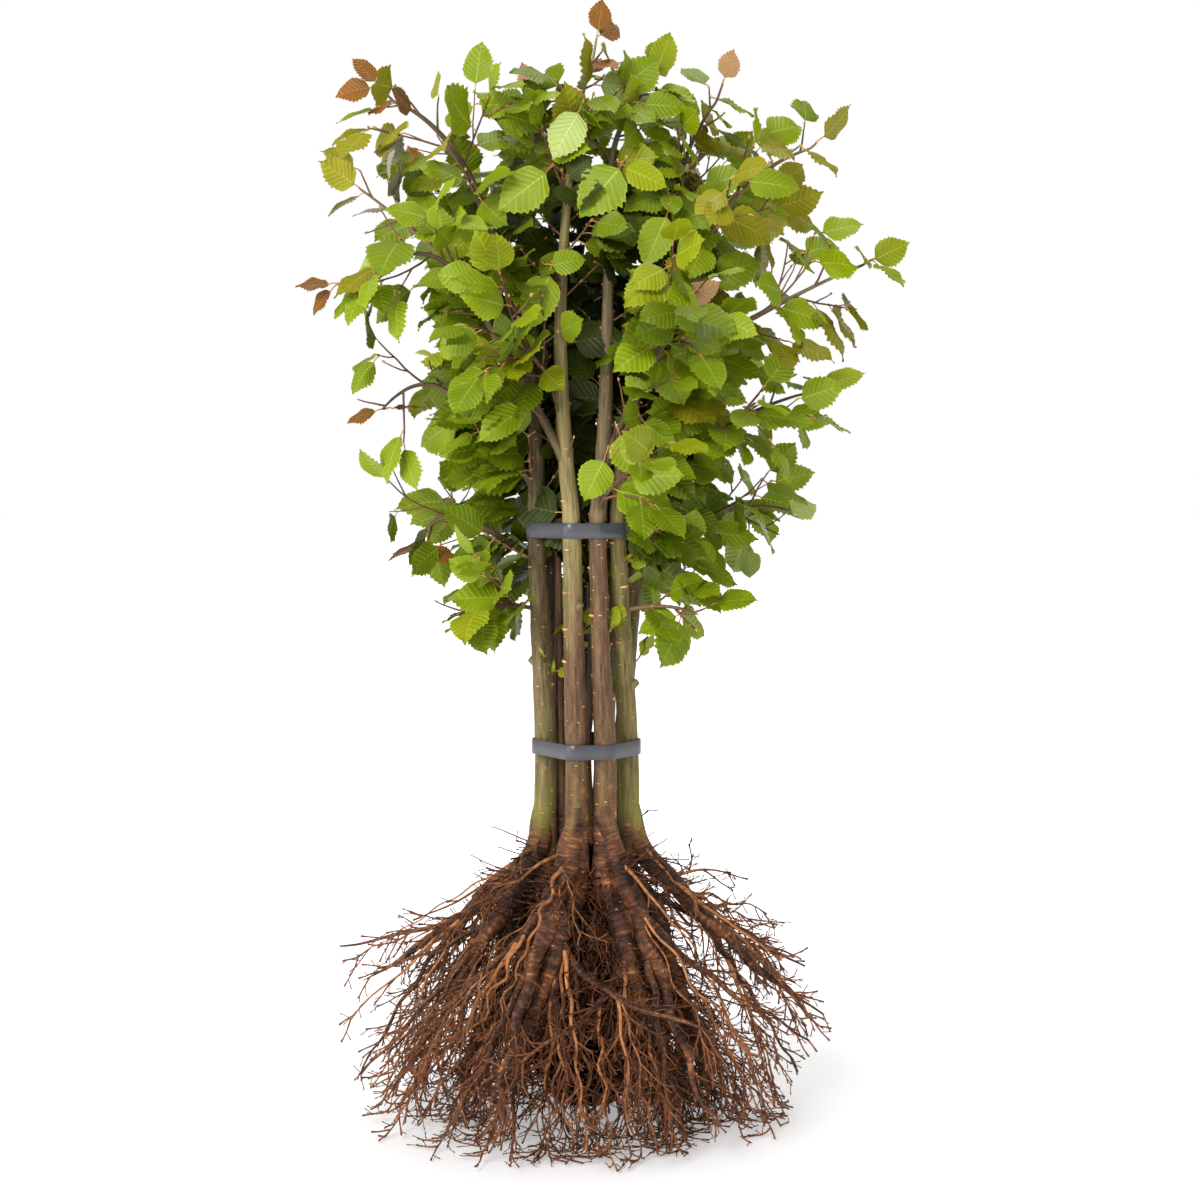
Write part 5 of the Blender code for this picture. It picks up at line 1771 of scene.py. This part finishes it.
def bark_material(name, upper, lower, change, moss, moss_share, collar):
    """Thin young bark: smooth and dull, streaked along the stem, with patches of moss and a green
    bloom above the collar.

    Each of upper and lower is a dark, a middle and a light tone, and change is the height where
    one passes into the other. Below the collar it passes into the brown bark of the roots.
    """
    material, tree, shader = new_material(name, IOR=1.45, Specular_IOR_Level=BARK_SHEEN)
    grain = value_of(tree, "grain", "Vector")
    # streaks about 3 mm wide and 30 mm long, and patches about 40 mm long
    streaks = noise(tree, grain, (300.0, 300.0, 33.0), 4.0, 0.6)
    patches = noise(tree, grain, (70.0, 70.0, 25.0), 2.0)
    split = add_node(tree, "ShaderNodeSeparateXYZ", {0: place_in_space(tree)})
    height = reckon(tree, "MULTIPLY_ADD", patches, 0.09, split.outputs["Z"])
    above, below = [ramp_of(tree, streaks, [(0.24 + 0.26 * i, code) for i, code in enumerate(tones)])
                    for tones in (upper, lower)]
    tone = mixed(tree, remap(tree, height, change, change + 0.11), below, above)
    moss_mask = remap(tree, patches, 0.62 - moss_share, 0.80 - moss_share, 0.0, 0.75)
    mossy = mixed(tree, moss_mask, tone, srgb(moss))
    # a green bloom just above the collar
    bloom = remap(tree, height, collar + 0.045, collar + 0.080, 3.4 * moss_share, 0.0)
    green = mixed(tree, bloom, mossy, srgb("#8E8A30"))
    # short pale cracks and pores across the bark, about 2 mm long
    pore_map = add_node(tree, "ShaderNodeMapping", {"Vector": grain, "Scale": (240.0, 240.0, 520.0)})
    pores = add_node(tree, "ShaderNodeTexVoronoi", {"Vector": pore_map.outputs[0], "Scale": 1.0})
    pore_mask = remap(tree, pores.outputs["Distance"], 0.10, 0.22, 0.45, 0.0)
    dotted = mixed(tree, pore_mask, green, srgb("#B98F62"))
    above_ground = remap(tree, height, collar, collar + 0.05)
    colour = mixed(tree, above_ground, root_colour(tree, grain), dotted)
    paint(tree, shader, colour)
    paint(tree, shader, remap(tree, streaks, 0.0, 1.0, 0.50, 0.78), "Roughness")
    emboss(tree, shader, streaks, 0.25, 0.0006)
    return material


def root_colour(tree, grain):
    """Root bark: dark brown with orange-brown rings and fibres where the skin has rubbed."""
    rings = noise(tree, grain, (50.0, 50.0, 270.0), 5.0, 0.7)
    # rubbed and shaded lengths of about 50 mm
    lengths = noise(tree, grain, (40.0, 40.0, 20.0), 2.0)
    rubbed = reckon(tree, "MULTIPLY_ADD", lengths, 0.9, -0.45)
    return ramp_of(tree, reckon(tree, "ADD", rings, rubbed),
                   ((0.30, "#24150F"), (0.45, "#4E3225"), (0.60, "#7A4C2E"), (0.76, "#C48A56")))


def root_bark_material(name):
    """Bark of thick roots: dull and corky, ringed by wrinkles."""
    material, tree, shader = new_material(name, Roughness=0.72, Specular_IOR_Level=BARK_SHEEN)
    grain = value_of(tree, "grain", "Vector")
    paint(tree, shader, root_colour(tree, grain))
    emboss(tree, shader, noise(tree, grain, (150.0, 150.0, 600.0), 5.0), 0.6, 0.0008)
    return material


def strand_material(name, light, dark, roughness, start=0.38):
    """Woody fibre, such as a twig or a rootlet: each strand has its own shade."""
    material, tree, shader = new_material(name, Roughness=roughness, Specular_IOR_Level=0.35)
    speckle = noise(tree, place_in_space(tree), 160.0, 2.0)
    share = reckon(tree, "ADD", speckle, value_of(tree, "shade"))
    colour = mixed(tree, remap(tree, share, start, 1.22), srgb(dark), srgb(light))
    paint(tree, shader, colour)
    return material


def plain_grain_material(name, light, dark, scale, **fixed):
    """A mottled natural surface with fine bumps."""
    material, tree, shader = new_material(name, **fixed)
    mottle = noise(tree, place_in_space(tree), scale, 4.0)
    paint(tree, shader, mixed(tree, mottle, srgb(dark), srgb(light)))
    emboss(tree, shader, mottle, 0.7, 0.002)
    return material


def strap_material():
    """Drawn polypropylene strapping: satin slate grey with faint lines along its length."""
    material, tree, shader = new_material("slate_polypropylene_strapping", IOR=1.49)
    grain = value_of(tree, "grain", "Vector")
    # drawing lines about 0.8 mm apart
    lines = noise(tree, grain, (18.0, 1200.0, 18.0), 3.0)
    scuffs = noise(tree, grain, 55.0, 4.0)
    colour = mixed(tree, scuffs, srgb("#3E3E44"), srgb("#4A4A50"))
    paint(tree, shader, colour)
    paint(tree, shader, remap(tree, lines, 0.0, 1.0, 0.24, 0.34), "Roughness")
    emboss(tree, shader, lines, 0.05, 0.0003)
    return material


# ------------ building the pieces
def grown_on(name, path, radii):
    """A limb's path and radii, on from its tip along the main twig of its spray."""
    sprays = [spray for spray, row in FOLIAGE.items() if row[:2] == (name, None)]
    if not sprays:
        return path, radii
    twig = smooth_path(spray_axis(sprays[0])[0], 0.0035)[1:]
    twig = [p for p in twig if (p - path[-2]).dot(path[-1] - path[-2]) > 0]
    keep = len(path) - 1
    return path[:keep] + twig, radii[:keep] + tapered(len(twig), radii[-1], TWIG_TIP)


def build_stems(barks):
    """Each stem with the root that runs on from its foot, and the places of its bud scars."""
    stems = {}
    scars = []
    for order, name in enumerate(STEMS):
        rng = Random(SEED * 70 + order)
        path = [p + Vector((sin(17 * p.z + order), cos(13 * p.z + 2 * order), 0)) * STEM_SWAY
                for p in smooth_path(foot_path(name) + stem_path(name), BARK_STEP)]
        path, radii = grown_on(name, path, [stem_radius(name, p.z) for p in path])
        below = path_length(path) - (STEMS[name][5] - HEART_TOP)
        nodes = node_places(rng, below + 0.05, path_length(path), 0.026)
        scars += bud_scars(rng, path, radii, nodes)
        bark = barks[STEM_BARKS[name]]
        stems[name] = bark_tube(name + "_bark", path, radii, THICK_SIDES,
                                stem_relief(order, nodes), bark)
    return stems, scars


def bud_scars(rng, path, radii, nodes):
    """The corky crescent under each bud: where it lies on the bark, and its turn and width."""
    points = np.array([tuple(p) for p in path])
    first, second = carried_frames(points)
    run = distances(path)
    scars = []
    for spot, turn_share in nodes:
        index = int(np.searchsorted(run, spot))
        if not 0 < index < len(path) - 1 or points[index][2] > SPUR_BAND[1]:
            continue
        angle = tau * turn_share
        out = Vector(cos(angle) * first[index] + sin(angle) * second[index])
        way = path[index + 1] - path[index - 1]
        across = way.cross(out).normalized()
        spread = rng.uniform(0.45, 1.35) * min(1.0, radii[index] / 0.009)
        base = path[index] + out * (radii[index] + 0.0010) - across * (0.5 * SCAR_WIDTH * spread)
        scars.append(Leaf(base, turn_towards(across, out), spread, 0, rng.random()))
    return scars


def build_whips(barks):
    """Slim shoots that run up inside the ring of stems."""
    whips = []
    for order, (low_x, low_y, high_x, high_y, bow, top, radius, bark) in enumerate(WHIPS):
        low = Vector((low_x, low_y, HEART_TOP))
        high = Vector((high_x, high_y, 0.52))
        middle = low.lerp(high, 0.5) + Vector((bow, 0, 0))
        path = smooth_path([low, middle, high, Vector((high_x, high_y, top))], 0.005)
        nodes = node_places(Random(SEED * 60 + order), 0.04, path_length(path), 0.030)
        radii = tapered(len(path), radius, 0.55 * radius)
        whips.append(bark_tube(f"whip_{order}_bark", path, radii, SLIM_SIDES,
                               stem_relief(80 + order, nodes), barks[bark]))
    return whips


def build_stubs(bark):
    """The stubs of shoots that were cut off: a short swollen piece with a flat end."""
    stubs = []
    for order, (stem, height, azimuth) in enumerate(STUBS):
        base = stem_point(stem, height)
        way = around(azimuth, 1.0, 0.75).normalized()
        reach = stem_radius(stem, height) + STUB_LENGTH
        path = [base + way * (reach * i / 6) for i in range(7)]
        radii = tapered(len(path), *STUB_RADII)
        stubs.append(bark_tube(f"cut_stub_{order}", path, radii, SLIM_SIDES,
                               root_relief(90 + order), bark))
    return stubs


def build_boughs(barks):
    boughs = {}
    for order, name in enumerate(BOUGHS):
        stem, height = BOUGHS[name][:2]
        rng = Random(SEED * 80 + order)
        path = smooth_path(bough_path(name, 8), 0.0026)
        first = max(0.0044, 0.58 * stem_radius(stem, height))
        flare = 0.35 * first
        run = distances(path)
        radii = [mix(first, 0.0030, d / run[-1]) + flare * exp(-d / 0.012) for d in run]
        nodes = node_places(rng, 0.03, run[-1], 0.030)
        path, radii = grown_on(name, path, radii)
        boughs[name] = bark_tube(name + "_bark", path, radii, BOUGH_SIDES,
                                 stem_relief(40 + order, nodes),
                                 barks["purple" if order % 2 else "grey"])
    return boughs


def build_thick_roots(thick, barks, root_bark):
    """Bark for the main roots, each like its stem's, and for the forks."""
    pieces = {}
    for order, (name, (path, radii)) in enumerate(thick.items()):
        relief = root_relief(60 + order)
        bark, sides = root_bark, SLIM_SIDES
        if name in MAIN_ROOTS:
            bark, sides = barks[STEM_BARKS[MAIN_ROOTS[name][0]]], THICK_SIDES
        if name not in STEMS:
            pieces[name] = bark_tube("thick_" + name, path, radii, sides, relief, bark)
    return pieces


def build_core(material):
    """The dark middle of the roots, a near-black piece of painted shade seen only between them."""
    rings = 31
    sides = 72
    verts = []
    for i in range(rings):
        height = mix(*CORE_HEIGHTS, i / (rings - 1))
        reach = CORE_SHARE * heart_radius(min(height, HEART_TOP))
        reach *= 1 - max(0, height - HEART_TOP) / 0.06
        reach *= mix(0.15, 1.0, min(1.0, height / 0.11))
        for j in range(sides):
            angle = tau * j / sides
            depth = 1 + 0.10 * sin(9 * angle + 2 * sin(20 * height))
            depth += 0.05 * sin(23 * angle + 40 * height)
            verts.append((reach * depth * cos(angle), reach * depth * sin(angle), height))
    foot = tuple(range(sides))[::-1]
    top = tuple(range(len(verts) - sides, len(verts)))
    return mesh_object("root_core", verts, ring_faces(rings, sides) + [foot, top], material)


def build_camera():
    camera_data = bpy.data.cameras.new("camera")
    camera_data.sensor_width = SENSOR_WIDTH
    camera_data.lens = SENSOR_WIDTH * CAMERA_DISTANCE / VIEW_WIDTH
    camera = add_object("camera", camera_data)
    camera.location = (VIEW_CENTRE.x, -CAMERA_DISTANCE, CAMERA_HEIGHT)
    camera.rotation_euler = (VIEW_CENTRE - camera.location).to_track_quat("-Z", "Y").to_euler()
    bpy.context.scene.camera = camera


def add_light(name, place_at, target, size, power):
    light_data = bpy.data.lights.new(name, "AREA")
    light_data.size = size
    light_data.energy = power
    light = add_object(name, light_data)
    light.location = place_at
    aim = Vector(target) - Vector(place_at)
    light.rotation_euler = aim.to_track_quat("-Z", "Y").to_euler()


def build_studio():
    """A white floor, a white band round the horizon and broad soft lights."""
    corners = [(FLOOR_REACH * x, FLOOR_REACH * y, 0) for x, y in ((-1, -1), (1, -1), (1, 1), (-1, 1))]
    mesh_object("floor", corners, [(0, 1, 2, 3)], floor_material())
    world = bpy.data.worlds.new("studio")
    world.use_nodes = True
    tree = world.node_tree
    direction = add_node(tree, "ShaderNodeTexCoord")
    split = add_node(tree, "ShaderNodeSeparateXYZ", {0: direction.outputs["Generated"]})
    # white up to 16 degrees above the horizon, then grey, so that hollows stay dark
    brightness = remap(tree, split.outputs["Z"], 0.28, 0.40, 1.0, 0.35)
    background = tree.nodes["Background"]
    background.inputs["Color"].default_value = srgb("#FFFFFF")
    tree.links.new(brightness, background.inputs["Strength"])
    bpy.context.scene.world = world
    bpy.context.scene.view_settings.view_transform = "Standard"
    for name, row in LIGHTS.items():
        add_light(name, *row)


def floor_material():
    """Matt white paper, lit from below further out so that it meets the white behind it."""
    material, tree, shader = new_material("white_studio_floor", Roughness=0.9)
    shader.inputs["Base Color"].default_value = srgb("#EDEDED")
    away = add_node(tree, "ShaderNodeVectorMath", {0: place_in_space(tree)}, operation="LENGTH")
    glow = remap(tree, away.outputs["Value"], 0.35, 1.6, 0.32, 1.0)
    shader.inputs["Emission Color"].default_value = srgb("#FFFFFF")
    paint(tree, shader, glow, "Emission Strength")
    return material


def join_surfaces(name, things):
    """One mesh with the surfaces of several objects, for growing things on."""
    bm = bmesh.new()
    for thing in things:
        bm.from_mesh(thing.data)
    return mesh_from(bm, name)


def dress_wood(barks, thick):
    """The bark of everything thick. It gives back the stems and the places of their bud scars."""
    stems, scars = build_stems(barks)
    for name, thing in stems.items():
        place(thing, [name])
    for thing in build_whips(barks) + build_stubs(barks["mossy"]):
        place(thing)
    for name, thing in build_boughs(barks).items():
        place(thing, [name])
    root_bark = root_bark_material("wrinkled_root_bark")
    for name, thing in build_thick_roots(thick, barks, root_bark).items():
        place(thing, [name] if name in MAIN_ROOTS else [])
    return stems, scars


def dress_roots(thick, strands_of):
    """The core of the roots and their fine roots, which stand for the masses together."""
    # painted shade: a near-black, dull core fills the depths between the roots
    core_shade = plain_grain_material("painted_shade_root_core", "#160B06", "#040201", 220.0,
                                     Roughness=1.0, Specular_IOR_Level=0.0)
    place(build_core(core_shade), ["root_heart"])
    long_ones, branches, hairs = grow_fine_roots(thick)
    rust = strand_material("rust_brown_rootlets", "#905630", "#120804", 0.62, 0.50)
    orange = strand_material("orange_rootlets", "#C88450", "#180A04", 0.58, 0.46)
    front = [strand for strand in branches if strand.points[0].y < 0]
    back = [strand for strand in branches if strand.points[0].y >= 0]
    for label, strands, sides, material in (("side_roots", long_ones, 6, orange),
                                            ("branch_roots_front", front, 4, rust),
                                            ("branch_roots_back", back, 4, rust),
                                            ("hair_roots", hairs, 3, rust)):
        place(strand_object(label, strands, sides, material, strands_of),
              list(ROOT_MASSES))


def dress_crown(strands_of, scatter):
    """The twigs, leaf stalks, buds and leaves, which stand for the foliage together."""
    crown = Crown()
    paths = limb_paths()
    grow_front_leaves(crown, paths)
    for order, name in enumerate(FOLIAGE):
        grow_spray(crown, name, order)
    grow_spurs(crown, paths)
    grow_shoots(crown, paths)
    twig_wood = strand_material("red_brown_twig_bark", "#80593F", "#3C2A20", 0.55)
    stalk = strand_material("yellow_red_leaf_stalk", "#C3A04A", "#9A5236", 0.50)
    place(strand_object("twigs", crown.twigs, 6, twig_wood, strands_of), list(FOLIAGE))
    place(strand_object("leaf_stalks", crown.petioles, 4, stalk, strands_of))
    bud = strand_material("pointed_leaf_bud", "#C89A4E", "#8A5230", 0.5)
    bud_shape = round_shape("bud_shape", *BUD_SHAPE)
    place(scattered_object("buds", crown.buds, bud_shape, bud, scatter))
    shapes = leaf_shapes()
    for tint, tones in LEAF_TONES.items():
        material = leaf_material(f"{tint}_leaf", *tones)
        if crown.leaves[tint]:
            place(scattered_object(f"leaves_{tint}", crown.leaves[tint], shapes, material, scatter))


def mark_stems(stems, scars, scatter):
    """Lenticels all over the stems, and a scar under each bud."""
    cork = plain_grain_material("pale_cork_lenticel", "#E2B47A", "#B0703E", 400.0, Roughness=0.7)
    given = {"Shapes": round_shape("lenticel_shape", *LENTICEL_SHAPE), "Material": cork}
    surface = join_surfaces("stem_surface", stems.values())
    place(grown("lenticels", surface, spots_tree(), given | LENTICELS))
    rust_cork = strand_material("orange_cork_bud_scar", "#D9A066", "#9A5A30", 0.7)
    scar_shape = round_shape("bud_scar_shape", *SCAR_SHAPE, 8, 5)
    place(scattered_object("bud_scars", scars, scar_shape, rust_cork, scatter))


def main():
    build_camera()
    build_studio()
    strands_of = strand_tree()
    scatter = scatter_tree()
    barks = {key: bark_material(*row) for key, row in BARKS.items()}
    thick = thick_roots()
    stems, scars = dress_wood(barks, thick)
    strap = strap_material()
    for name, height in (("band_lower", LOWER_BAND_HEIGHT), ("band_upper", UPPER_BAND_HEIGHT)):
        place(build_strap(name + "_strap", height, strap), [name])
    dress_roots(thick, strands_of)
    dress_crown(strands_of, scatter)
    mark_stems(stems, scars, scatter)


main()
